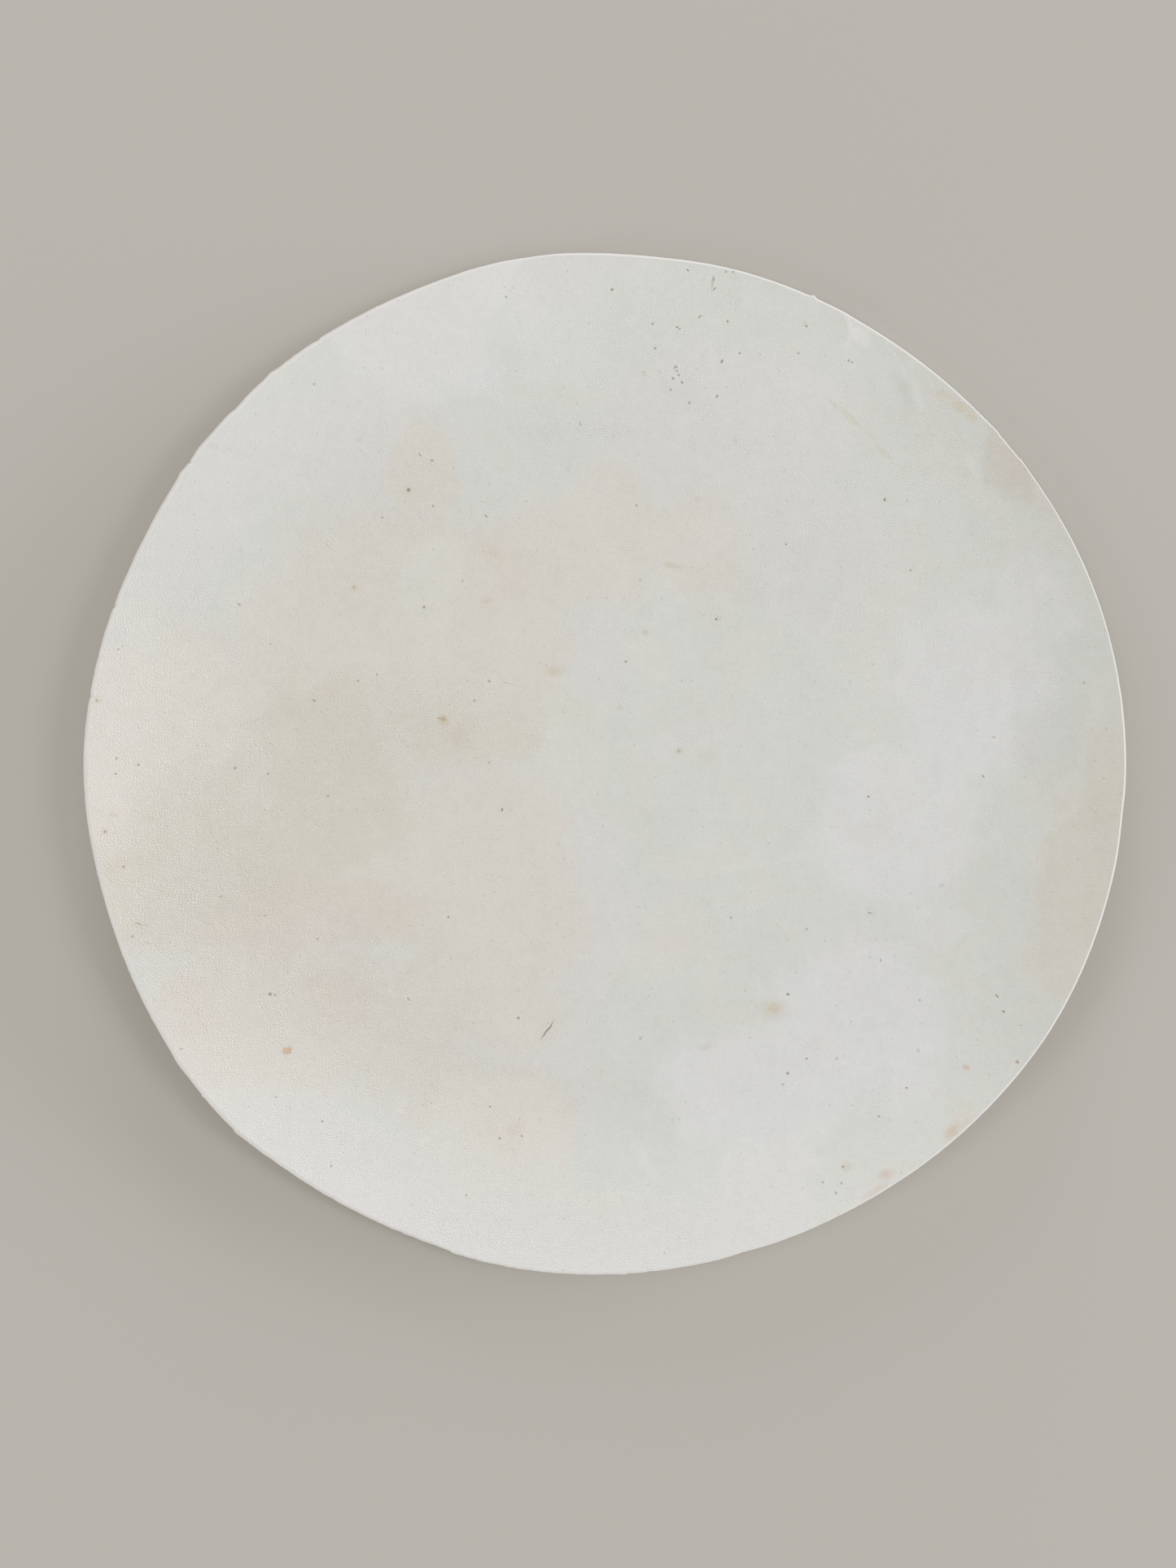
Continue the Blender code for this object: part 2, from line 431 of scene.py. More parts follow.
# Spots: small stains, laid over the tints.
YELLOW_SPOTS = Tint((0.480, 0.360, 0.150, 1.0), patches(
    (950, 1240, 13, 10, 0, 0.60, 0.45),
    (951, 1239, 7, 6, 0, 0.50, 0.75),
    (826, 695, 9, 2.6, -8, 0.50, 0.50),
    (545, 885, 5, 6, 60, 0.50, 0.75),
    (681, 825, 8, 4, 0, 0.70, 0.55),
    (680, 826, 4, 3, 0, 0.60, 0.60),
    (564, 905, 8, 10, 0, 0.70, 0.30),
    (1040, 1434, 6, 5, 30, 0.60, 0.45),
    (632, 1388, 8, 6, 0, 0.60, 0.35),
    (607, 679, 5, 4, 0, 0.70, 0.30),
    (599, 738, 6, 3, 0, 0.60, 0.40),
    (1162, 485, 10, 3.5, -25, 0.50, 0.40),
    (1179, 499, 8, 5, -40, 0.50, 0.60),
    (1193, 512, 6, 4, -30, 0.50, 0.55),
    (1110, 436, 9, 3, -38, 0.60, 0.35),
    (500, 603, 4.0, 4.0, 0, 0.70, 0.40),
    (435, 722, 3.7, 3.7, 0, 0.60, 0.45),
    (791, 459, 2.7, 2.7, 0, 0.50, 0.50),
    (903, 542, 3.5, 3.5, 0, 0.60, 0.40),
    (964, 578, 2.7, 2.7, 0, 0.60, 0.35),
    (857, 614, 3.0, 3.0, 0, 0.60, 0.40),
    (834, 923, 3.3, 3.3, 0, 0.50, 0.50),
    (868, 931, 8, 7, 0, 0.70, 0.25),
    (761, 870, 3.0, 3.0, 0, 0.60, 0.40),
    (989, 398, 2.8, 2.8, 0, 0.60, 0.40),
    (1168, 1393, 7, 5, 30, 0.60, 0.50),
    (1190, 1380, 7, 4, 45, 0.60, 0.35),
    (1290, 1031, 6, 6, 0, 0.60, 0.25),
    (119, 861, 3.0, 3.0, 0, 0.70, 0.50),
))
ORANGE_SPOTS = Tint((0.500, 0.210, 0.065, 1.0), patches(
    (353, 1291, 5.2, 3.6, 15, 0.35, 0.90),
    (1089, 1443, 7, 5, 10, 0.60, 0.45),
    (1089, 1443, 2.4, 2.4, 0, 0.60, 0.60),
    (1077, 1463, 14, 3, 30, 0.60, 0.35),
    (1174, 1387, 7, 3, 45, 0.60, 0.35),
    (867, 1287, 6, 3, 15, 0.60, 0.40),
    (262, 548, 6, 3, -30, 0.60, 0.25),
    (1187, 1312, 2.9, 2.9, 0, 0.50, 0.65),
    (883, 760, 2.7, 2.7, 0, 0.60, 0.40),
    (793, 777, 2.9, 2.9, 0, 0.60, 0.50),
    (442, 541, 2.8, 2.8, 0, 0.60, 0.32),
    (129, 1022, 3.4, 3.4, 0, 0.70, 0.40),
    (140, 1002, 4, 2.4, 0, 0.70, 0.45),
    (148, 1058, 10, 7, 30, 0.80, 0.12),
    (1292, 1073, 6, 14, 0, 0.70, 0.08),
    (667, 369, 4.5, 4.5, 0, 0.80, 0.15),
    (1250, 1305, 2.4, 2.4, 0, 0.60, 0.50),
))
SPOTS = (YELLOW_SPOTS, ORANGE_SPOTS)

# Scratches and scars: thin marks, also pressed into the surface.
GREY_SCRATCHES = Tint((0.045, 0.043, 0.047, 1.0), patches(
    (673, 1266, 11.0, 0.9, 56, 0.30, 0.95),
    (875, 348, 7.5, 0.8, 88, 0.40, 0.55),
    (829, 452, 3.2, 0.8, 80, 0.40, 0.60),
    (402, 670, 3.6, 0.7, -40, 0.50, 0.45),
    (625, 840, 6.0, 0.6, -15, 0.50, 0.35),
    (330, 1221, 9.0, 0.7, 0, 0.60, 0.30),
    (460, 635, 3.0, 0.6, 75, 0.50, 0.45),
    (1140, 1131, 2.0, 0.7, 60, 0.50, 0.30),
))
SCARS = Tint((0.530, 0.500, 0.270, 1.0), patches(
    (1023, 496, 8.0, 2.2, -45, 0.60, 0.50),
    (1045, 514, 14.0, 3.0, -42, 0.50, 0.60),
    (1041, 509, 3.0, 2.0, -38, 0.60, 0.40),
    (1071, 537, 7.0, 0.8, -45, 0.60, 0.40),
    (1086, 556, 10.0, 2.6, -42, 0.50, 0.55),
    (1106, 574, 14.0, 0.9, -38, 0.60, 0.35),
    (940, 800, 60.0, 0.9, -62, 0.60, 0.18),
    (940, 1100, 90.0, 1.0, 8, 0.70, 0.18),
))
SCRATCHES = (GREY_SCRATCHES, SCARS)

# Open pores and specks of dirt, the darkest pinpricks of the hide.
PORES = patches(
    # the top and the upper left
    (752, 356, 1.6, 1.3, 20, 0.4, 0.95),
    (622, 365, 1.2, 1.2, 0, 0.4, 0.85),
    (845, 332, 1.8, 1.0, -35, 0.4, 0.90),
    (877, 343, 3.2, 0.8, 82, 0.4, 0.85),
    (878, 355, 2.4, 0.9, 40, 0.4, 0.85),
    (892, 334, 1.2, 1.2, 0, 0.4, 0.80),
    (901, 334, 1.2, 1.2, 0, 0.4, 0.80),
    (860, 389, 2.4, 0.9, 42, 0.4, 0.85),
    (802, 398, 1.4, 1.4, 0, 0.4, 0.85),
    (832, 402, 1.2, 1.2, 0, 0.4, 0.90),
    (835, 404, 1.1, 1.1, 0, 0.4, 0.90),
    (805, 428, 1.4, 1.4, 0, 0.4, 0.80),
    (894, 395, 1.6, 1.1, -70, 0.4, 0.90),
    (887, 444, 2.1, 1.3, 60, 0.4, 0.95),
    (909, 434, 1.3, 1.3, 0, 0.4, 0.85),
    (831, 451, 1.3, 1.3, 0, 0.4, 0.90),
    (832, 456, 1.2, 1.2, 0, 0.4, 0.85),
    (834, 461, 1.3, 1.3, 0, 0.4, 0.85),
    (827, 465, 1.4, 1.4, 0, 0.4, 0.90),
    (838, 470, 1.8, 1.1, -60, 0.4, 0.90),
    (824, 479, 1.3, 1.3, 0, 0.4, 0.85),
    (847, 495, 1.4, 1.4, 0, 0.4, 0.85),
    (881, 487, 2.0, 1.2, 60, 0.4, 0.90),
    (713, 521, 2.4, 0.8, -68, 0.4, 0.80),
    (516, 559, 2.2, 0.9, -55, 0.4, 0.85),
    (531, 566, 1.3, 1.3, 0, 0.4, 0.85),
    (502, 602, 1.9, 1.9, 0, 0.4, 0.95),
    (532, 622, 2.0, 0.9, -55, 0.4, 0.80),
    (597, 634, 2.0, 0.9, -45, 0.4, 0.85),
    (386, 472, 1.3, 1.3, 0, 0.4, 0.70),
    # the top right
    (991, 401, 1.2, 1.2, 0, 0.4, 0.90),
    (981, 434, 1.3, 1.3, 0, 0.4, 0.75),
    (1043, 443, 1.3, 1.3, 0, 0.4, 0.85),
    (1047, 445, 1.2, 1.2, 0, 0.4, 0.80),
    (1087, 614, 1.9, 1.3, 85, 0.4, 0.95),
    (966, 669, 1.2, 1.2, 0, 0.4, 0.80),
    (1119, 701, 1.3, 1.3, 0, 0.4, 0.75),
    (1332, 839, 1.3, 1.3, 0, 0.4, 0.70),
    # the left
    (294, 743, 2.4, 0.9, -40, 0.4, 0.85),
    (145, 798, 1.3, 1.3, 0, 0.4, 0.70),
    (119, 861, 1.4, 1.4, 0, 0.6, 0.60),
    (143, 932, 1.4, 1.4, 0, 0.4, 0.80),
    (142, 951, 1.2, 1.2, 0, 0.4, 0.90),
    (170, 940, 1.5, 1.5, 0, 0.4, 0.85),
    (129, 1022, 1.4, 1.4, 0, 0.5, 0.85),
    (152, 1065, 1.3, 1.3, 0, 0.4, 0.90),
    (289, 944, 1.7, 1.3, 50, 0.4, 0.90),
    (329, 951, 1.2, 1.2, 0, 0.4, 0.80),
    (386, 861, 2.2, 0.9, -32, 0.4, 0.90),
    (440, 837, 1.2, 1.2, 0, 0.4, 0.80),
    (463, 829, 1.2, 1.2, 0, 0.4, 0.75),
    (403, 978, 1.2, 1.2, 0, 0.4, 0.80),
    (470, 636, 1.3, 1.3, 0, 0.4, 0.70),
    (435, 722, 1.4, 1.4, 0, 0.6, 0.60),
    (272, 1102, 2.2, 1.7, 20, 0.7, 0.55),
    # the middle
    (521, 746, 1.5, 1.5, 0, 0.5, 0.90),
    (601, 837, 2.0, 0.9, -48, 0.4, 0.90),
    (583, 861, 1.6, 0.9, 50, 0.4, 0.90),
    (545, 884, 2.4, 2.2, 0, 0.6, 0.60),
    (541, 883, 3.2, 0.8, -8, 0.5, 0.75),
    (601, 937, 1.4, 1.4, 0, 0.4, 0.65),
    (617, 995, 2.0, 1.1, 85, 0.4, 0.90),
    (568, 714, 1.4, 1.4, 0, 0.5, 0.60),
    (782, 621, 1.3, 1.3, 0, 0.4, 0.75),
    (787, 713, 1.6, 1.6, 0, 0.6, 0.50),
    (880, 761, 1.3, 1.3, 0, 0.4, 0.90),
    (769, 813, 1.4, 1.4, 0, 0.4, 0.85),
    (834, 923, 1.6, 1.6, 0, 0.6, 0.60),
    (898, 1128, 1.8, 0.9, -50, 0.4, 0.85),
    # the right
    (1221, 906, 1.6, 1.2, 10, 0.5, 0.65),
    (1208, 954, 1.9, 1.0, -50, 0.4, 0.85),
    (1067, 979, 1.3, 1.3, 0, 0.4, 0.90),
    (1157, 1088, 2.6, 1.7, 30, 0.7, 0.40),
    (1069, 1122, 2.6, 0.8, -8, 0.4, 0.80),
    # the bottom left
    (170, 1135, 3.2, 0.8, -28, 0.4, 0.85),
    (163, 1151, 1.3, 1.3, 0, 0.4, 0.85),
    (326, 1125, 1.2, 1.2, 0, 0.4, 0.75),
    (390, 1154, 1.3, 1.3, 0, 0.4, 0.70),
    (332, 1222, 1.8, 1.8, 0, 0.4, 0.95),
    (338, 1223, 1.3, 1.3, 0, 0.4, 0.80),
    (223, 1289, 1.3, 1.3, 0, 0.4, 0.80),
    (502, 1228, 2.0, 0.9, -55, 0.4, 0.80),
    (339, 1348, 1.3, 1.3, 0, 0.4, 0.70),
    (396, 1378, 1.3, 1.3, 0, 0.4, 0.85),
    (407, 1433, 1.3, 1.3, 0, 0.4, 0.85),
    (551, 1127, 1.3, 1.3, 0, 0.4, 0.80),
    (637, 1251, 1.5, 1.2, 80, 0.4, 0.95),
    # the bottom
    (602, 1360, 1.2, 1.2, 0, 0.4, 0.85),
    (614, 1399, 1.3, 1.3, 0, 0.4, 0.90),
    (641, 1396, 1.5, 1.0, -60, 0.4, 0.85),
    (573, 1469, 1.3, 1.3, 0, 0.4, 0.75),
    (787, 1276, 1.5, 1.5, 0, 0.5, 0.60),
    # the bottom right
    (991, 1142, 1.3, 1.3, 0, 0.4, 0.70),
    (1082, 1180, 1.9, 0.9, -80, 0.4, 0.80),
    (968, 1222, 1.7, 1.3, -10, 0.4, 0.95),
    (1130, 1229, 1.3, 1.3, 0, 0.4, 0.70),
    (1225, 1224, 2.4, 0.9, -50, 0.4, 0.90),
    (1233, 1243, 1.6, 1.2, -30, 0.4, 0.90),
    (991, 1301, 1.3, 1.3, 0, 0.4, 0.85),
    (968, 1319, 1.6, 1.6, 0, 0.5, 0.85),
    (962, 1333, 1.3, 1.3, 0, 0.4, 0.75),
    (1028, 1301, 1.9, 1.9, 0, 0.7, 0.50),
    (1128, 1291, 1.8, 1.8, 0, 0.7, 0.55),
    (1114, 1337, 1.2, 1.2, 0, 0.4, 0.90),
    (1080, 1372, 1.4, 1.0, 60, 0.4, 0.85),
    (1250, 1305, 1.4, 1.4, 0, 0.5, 0.75),
    (1036, 1434, 1.3, 1.3, 0, 0.5, 0.80),
    (1011, 1453, 1.3, 1.3, 0, 0.4, 0.75),
    (1027, 1466, 1.9, 0.9, -50, 0.4, 0.85),
    (1034, 1454, 1.3, 1.3, 0, 0.4, 0.75),
)
PORE_COLOUR = (0.060, 0.052, 0.045, 1.0)

# How coarse the pebbled grain usually is, how much coarser under a mark of COARSE, the share of
# it that is gone under one of SMOOTH, where it is worn, and where it is drawn together into deep
# wrinkles.
USUAL_COARSENESS = 0.57
COARSE_SHARE = 0.85
WORN_SHARE = 0.7
COARSE = patches(
    (250, 1000, 110, 260, 10, 0.7, 1.3),
    (420, 1290, 170, 120, -35, 0.7, 1.2),
    (700, 1500, 220, 50, 0, 0.7, 1.05),
    (470, 900, 110, 60, 0, 0.7, 1.4),
    (800, 440, 150, 60, 0, 0.8, 0.50),
    (440, 640, 90, 90, 0, 0.8, 0.60),
    (1100, 640, 160, 120, -40, 0.8, 0.42),
)
SMOOTH = patches(
    (1000, 1300, 210, 150, 30, 0.8, 0.8),
    (420, 480, 190, 50, 42, 0.8, 0.7),
    (900, 950, 140, 90, 0, 0.8, 0.5),
)
WRINKLED = patches(
    (700, 529, 50, 5, 0, 0.6, 0.8),
    (765, 527, 20, 5, 0, 0.6, 0.5),
    (1084, 1350, 11, 26, -10, 0.6, 0.9),
    (985, 1285, 26, 30, 30, 0.8, 0.4),
    (1135, 583, 18, 8, -15, 0.7, 0.6),
    (1136, 515, 12, 8, -60, 0.7, 0.6),
    (660, 902, 16, 14, -30, 0.7, 0.7),
    (325, 888, 16, 7, 0, 0.6, 0.9),
    (322, 789, 20, 7, -15, 0.7, 0.5),
    (990, 820, 14, 8, 20, 0.7, 0.5),
    (1150, 840, 30, 40, -30, 0.8, 0.4),
    (1270, 850, 16, 30, 10, 0.8, 0.5),
    (694, 1378, 12, 8, -30, 0.6, 0.6),
    (745, 1438, 10, 8, -30, 0.6, 0.6),
    (250, 1060, 60, 80, 20, 0.8, 0.4),
    (370, 1240, 60, 50, -30, 0.8, 0.4),
    (1170, 1010, 20, 10, 0, 0.8, 0.3),
)

# Where open pores lie close together.
PORED = patches(
    (325, 888, 18, 8, 0, 0.7, 1.0),
    (390, 1342, 14, 12, -30, 0.7, 0.9),
    (410, 1368, 12, 8, -20, 0.7, 0.9),
    (273, 1303, 12, 8, -20, 0.7, 0.9),
    (230, 1235, 24, 20, -50, 0.8, 0.6),
    (175, 1140, 14, 20, 20, 0.8, 0.7),
    (430, 1283, 10, 8, 0, 0.7, 0.7),
    (250, 1060, 50, 90, 20, 0.9, 0.25),
    (330, 1000, 60, 50, 0, 0.9, 0.30),
    (420, 1180, 70, 50, 0, 0.9, 0.25),
    (560, 1310, 60, 40, 0, 0.9, 0.45),
    (600, 1400, 50, 30, 0, 0.9, 0.40),
    (430, 1420, 40, 26, -20, 0.9, 0.40),
    (650, 905, 18, 14, 0, 0.8, 0.6),
    (560, 890, 50, 30, 0, 0.9, 0.35),
    (700, 525, 50, 14, 0, 0.8, 0.6),
    (520, 560, 14, 20, 0, 0.8, 0.5),
    (850, 430, 40, 50, 0, 0.9, 0.30),
    (1084, 1350, 12, 26, -10, 0.7, 0.7),
    (1135, 583, 18, 8, -15, 0.8, 0.6),
    (1275, 845, 14, 20, 0, 0.8, 0.5),
    (325, 789, 16, 7, -15, 0.7, 0.6),
    (640, 1500, 120, 26, 0, 0.9, 0.25),
    (1022, 1462, 12, 14, 0, 0.8, 0.5),
    (1018, 392, 12, 8, -20, 0.8, 0.3),
)

# The finish of each face: roughness, shine and a share of soft nap, which is as rough as this.
Finish = namedtuple("Finish", "name roughness shine nap")
GRAIN_FINISH = Finish("white_leather_grain", 0.5, 0.4, 0.1)
CUT_FINISH = Finish("white_leather_cut", 0.85, 0.25, 0.25)
FLESH_FINISH = Finish("white_leather_flesh", 0.92, 0.2, 0.35)
FLOOR_FINISH = Finish("floor", 0.9, 0.2, 0.0)
NAP_ROUGHNESS = 0.5

# How a finish drifts from place to place: mm for one wave, and how far from 1 its factor goes.
# It goes that far where the clouds that it follows reach the ends of this span.
Mottle = namedtuple("Mottle", "pitch depth")
WHITE_MOTTLES = (Mottle(5.5, 0.05), Mottle(2.0, 0.06))
WEAR = Mottle(24, 0.12)
CUT_RAGGEDNESS = Mottle(3, 0.16)
CUT_FIBRES = Mottle(0.7, 0.14)
CUT_MOTTLE = Mottle(17, 0.08)
NAP_FIBRES = Mottle(0.9, 0.16)
NAP_TUFTS = Mottle(14, 0.10)
MOTTLE_SPAN = (0.25, 0.75)

# How outlines are bent so that they wander as real ones do: mm for one wave, and mm of reach,
# to either side of the middle of the clouds that they follow.
Bend = namedtuple("Bend", "pitch reach")
SPOT_BEND = Bend(2.4, 1.8)
SCRATCH_BEND = Bend(5, 1.2)
NAP_BEND = Bend(9, 10)
CLOUD_MIDDLE = (0.5, 0.5, 0.5)

# The pebbles of the grain: their width, and, in widths of a pebble, the bends that draw them
# out of true and make their outlines ragged. They rise from the wrinkles over this share of a
# width, and lie as unevenly as their randomness says.
PEBBLE_PITCH = 1.2 * MM
PEBBLE_BENDS = (Bend(12.0, 4.5), Bend(1.5, 1.1))
PEBBLE_SIDE = (0.0, 0.42)
PEBBLE_RANDOMNESS = 0.85

# Where the grain is smoothest and where it is coarsest: mm that its pebbles stand up, and the
# share of dust and painted shade in the wrinkles between them, which reach up to this share of a
# pebble's height.
COARSENESS_SPAN = (0.0, 2.0)
PEBBLE_RELIEF = (0.035, 0.25)
WRINKLE_DUST_AND_SHADE = (0.04, 0.42)
WRINKLE_SPAN = (0.0, 0.8)
DUST_AND_SHADE_COLOUR = (0.360, 0.335, 0.290, 1.0)

# Roughness in the wrinkles and on the tops of the pebbles, which handling has polished.
PEBBLE_ROUGHNESS = (0.60, 0.48)

# Pores that have no row of their own, first pinpricks and then slits. In mm: how far apart, how
# long and how wide. The share of places that has one, at the fewest and where pores lie close
# together, and how dark they are.
FinePore = namedtuple("FinePore", "pitch long wide fewest most strength")
FINE_PORES = (
    FinePore(2.6, 1.2, 0.8, 0.03, 0.55, 0.50),
    FinePore(8.0, 2.2, 0.9, 0.15, 0.45, 0.55),
)

# The shortest and the longest of them as shares of that length, and the shares of their size
# between which their outline fades.
TICK_LENGTHS = (0.35, 1.0)
TICK_OUTLINE = (0.2, 0.5)

# Mm that pores and scratches are pressed in.
PORE_DEPTH = 0.10
SCRATCH_DEPTH = 0.06

# Colours through the cut, from the flesh side (0) to the grain (1), linear. Its fibres stand up
# by so many mm.
CutShade = namedtuple("CutShade", "through colour")
CUT_SHADES = (
    CutShade(0.00, (0.700, 0.590, 0.560, 1.0)),
    CutShade(0.20, (0.780, 0.690, 0.660, 1.0)),
    CutShade(0.34, (0.900, 0.860, 0.820, 1.0)),
    # The darker row at 0.52 is painted shade along the groove.
    CutShade(0.52, (0.780, 0.735, 0.700, 1.0)),
    CutShade(0.60, (0.900, 0.880, 0.840, 1.0)),
    CutShade(1.00, (0.900, 0.885, 0.845, 1.0)),
)
# The colour of the painted shade on the lower half of the cut.
CUT_PAINTED_SHADE_COLOUR = (0.160, 0.130, 0.110, 1.0)
CUT_FIBRE_HEIGHT = 0.5

# The flesh side's nap, with its fibres drawn out along the hide. Heights in mm.
FLESH_COLOUR = (0.640, 0.595, 0.530, 1.0)
NAP_DRAW = (1.0, 0.35, 1.0)
NAP_FIBRE_HEIGHT = 0.6
NAP_TUFT_HEIGHT = 0.8

# Where the two sides lie on the baking map's unit square: the middle, and squares for a metre.
GRAIN_MAP = (0.400, 0.600, 1.50)
FLESH_MAP = (0.820, 0.180, 0.66)

# The degrees between faces past which they meet in a sharp edge.
EDGE_ANGLE = 40.0

# The plain floor, in metres across.
FLOOR_SIZE = 8.0
FLOOR_COLOUR = (0.320, 0.307, 0.286, 1.0)

# Panels of soft light all round the hide, as windows and lamps: degrees round from +X and up
# from the floor, metres wide and high, and watts. All are as far away and of one colour.
Panel = namedtuple("Panel", "name azimuth elevation wide high watts")
PANELS = (
    Panel("right window", 12, 6, 7.8, 1.45, 3580),
    Panel("far window", 90, 6, 3.7, 1.45, 1840),
    Panel("near lamp", 210, 12, 3.7, 2.05, 1000),
    Panel("high right lamp", 0, 28, 3.7, 2.45, 635),
    Panel("high left lamp", 180, 28, 3.7, 2.45, 350),
)
PANEL_DISTANCE = 9.0
PANEL_COLOUR = (1.0, 0.965, 0.84)
ROOM_COLOUR = (1.0, 0.965, 0.85, 1.0)
ROOM_STRENGTH = 0.76


# --------------------------------------------------------------------- the sheet's own shape


def rim_at(angles):
    """Return the rim's stations at these angles, on a smooth curve through the rows, in metres."""
    rows = np.array(RIM)
    turn = np.asarray(angles) % 360
    row = np.searchsorted(rows[:, 0], turn, side="right") - 1
    steps = [(row + offset) % len(RIM) for offset in (-1, 0, 1, 2)]
    before, start, end, after = (rows[step, 0] for step in steps)
    span = (end - start) % 360
    t = (turn - start) / span
    start_run = (end - before) % 360
    end_run = (after - start) % 360
    weights = (
        -(t**3 - 2 * t**2 + t) * span / start_run,
        2 * t**3 - 3 * t**2 + 1 - (t**3 - t**2) * span / end_run,
        3 * t**2 - 2 * t**3 + (t**3 - 2 * t**2 + t) * span / start_run,
        (t**3 - t**2) * span / end_run,
    )
    blend = sum(weight[..., None] * rows[step] for weight, step in zip(weights, steps))
    units = Station(angle=1.0, reach=MM, lift=MM, curl=MM, bend=1.0, skive=MM)
    return Station(*np.moveaxis(blend * np.array(units), -1, 0))._replace(angle=turn)


def rim_value(angles, rows, column):
    """Return one column of a table of the rim at these angles, straight from row to row."""
    return np.interp(
        angles, [row.angle for row in rows], [getattr(row, column) for row in rows], period=360
    )


def outline_middle():
    """Return the middle of the box that the flesh side's outline fills, seen from the rim's."""
    angles = np.arange(0, 360, OUTLINE_STEP)
    reach = rim_at(angles).reach
    xs = reach * np.cos(np.radians(angles))
    ys = reach * np.sin(np.radians(angles))
    return (xs.min() + xs.max()) / 2, (ys.min() + ys.max()) / 2


MIDDLE = outline_middle()


def crease_height(x, y):
    """Return how far the creases lift the sheet, or press it down, in the rim's own plan."""
    total = 0.0
    for crease in CREASES:
        start = float(rim_at(crease.angle).reach)
        from_x = x - start * cos(radians(crease.angle))
        from_y = y - start * sin(radians(crease.angle))
        heading = radians(crease.heading)
        along = from_x * cos(heading) + from_y * sin(heading)
        leftward = from_y * cos(heading) - from_x * sin(heading)
        share = np.clip(along / (crease.length * MM), 0.0, 1.0)
        fade = np.cos(share * pi / 2) ** 2
        settle = np.where(leftward > 0, crease.left, crease.right) * MM
        off_line = np.hypot(leftward, CREST_ROUNDING) - CREST_ROUNDING
        total = total + crease.height * MM * fade * np.exp(-off_line / settle)
    return total


def lie_at(x, y):
    """Return how high the flesh side lies at points of the plan, and its slope outwards."""
    from_x = x + MIDDLE[0]
    from_y = y + MIDDLE[1]
    station = rim_at(np.degrees(np.arctan2(from_y, from_x)))
    foot = station.reach - station.curl
    share = np.clip((np.hypot(from_x, from_y) - foot) / station.curl, 0.0, None)
    height = station.lift * share**station.bend
    slope = station.lift * station.bend * share ** (station.bend - 1) / station.curl
    return np.maximum(0.0, height + crease_height(from_x, from_y)), slope


def on_hide(across, down):
    """Return the point of the plan that the photograph shows at a pixel."""
    height = THICKNESS
    for _ in range(SIGHT_ROUNDS):
        metres_a_pixel = (CAMERA_HEIGHT - height) / FOCAL_PIXELS
        x = CAMERA_FOOT[0] + (across - PHOTO_WIDTH / 2) * metres_a_pixel
        y = CAMERA_FOOT[1] - (down - PHOTO_HEIGHT / 2) * metres_a_pixel
        height = THICKNESS + float(lie_at(x, y)[0])
    return x, y


def noise_at(x, y, wave):
    """Return smooth noise from about -1 to 1 at points of the plan."""
    pitch = wave.pitch * MM
    return np.array([
        noise.fractal((px / pitch, py / pitch, wave.start), LAYER_FALL, LAYER_STEP, wave.layers)
        for px, py in zip(x, y)
    ])


def outwards_at(angles):
    """Return a step of one metre outwards at each angle."""
    return np.stack([np.cos(np.radians(angles)), np.sin(np.radians(angles))], axis=1)


def knife_wander(angles):
    """Return how far the knife's slips and tremble move the rim outwards at each angle."""
    move = np.zeros(len(angles))
    for slip in SLIPS:
        along = np.radians((angles - slip.angle + 180) % 360 - 180) * MEAN_RADIUS
        fade = np.where(along > 0, slip.anticlockwise, slip.clockwise) * MM
        move += slip.out * MM * np.exp(-((along / fade) ** 2))
    rough = rim_value(angles, RAGGED, "rough") * MM
    x, y = outwards_at(angles).T * MEAN_RADIUS
    tremble = noise_at(x, y, TREMBLE) + SHIVER_SHARE * noise_at(x, y, SHIVER)
    return move + rough * tremble


def measure_from(x, y, mark):
    """Return where points of the plan lie along and across a mark, from -1 to 1 inside it."""
    middle_x, middle_y = on_hide(mark.across, mark.down)
    turn = radians(mark.turn)
    along = (x - middle_x) * cos(turn) + (y - middle_y) * sin(turn)
    aside = (y - middle_y) * cos(turn) - (x - middle_x) * sin(turn)
    return along / (mark.long * MM / 2), aside / (mark.wide * MM / 2)


def dent_height(x, y):
    """Return how far the dents and ridges move the grain side."""
    total = 0.0
    for dent in DENTS:
        along, aside = measure_from(x, y, dent)
        total = total + dent.height * MM * np.exp(-(along**2 + aside**2))
    return total


def cover_at(x, y, marks):
    """Return how strongly these marks cover points of the plan."""
    cover = np.zeros(len(x))
    for mark in marks:
        away = np.hypot(*measure_from(x, y, mark))
        inside = np.clip((1 + mark.soft - away) / (2 * mark.soft), 0.0, 1.0)
        cover = np.maximum(cover, mark.strength * inside**2 * (3 - 2 * inside))
    return cover


def lay_tints(colour, x, y, tints):
    """Return the colours at points of the plan with these tints laid over them in turn."""
    for tint_and_painted_light in tints:
        cover = cover_at(x, y, tint_and_painted_light.marks)[:, None]
        colour = colour * (1 - cover) + np.array(tint_and_painted_light.colour) * cover
    return colour


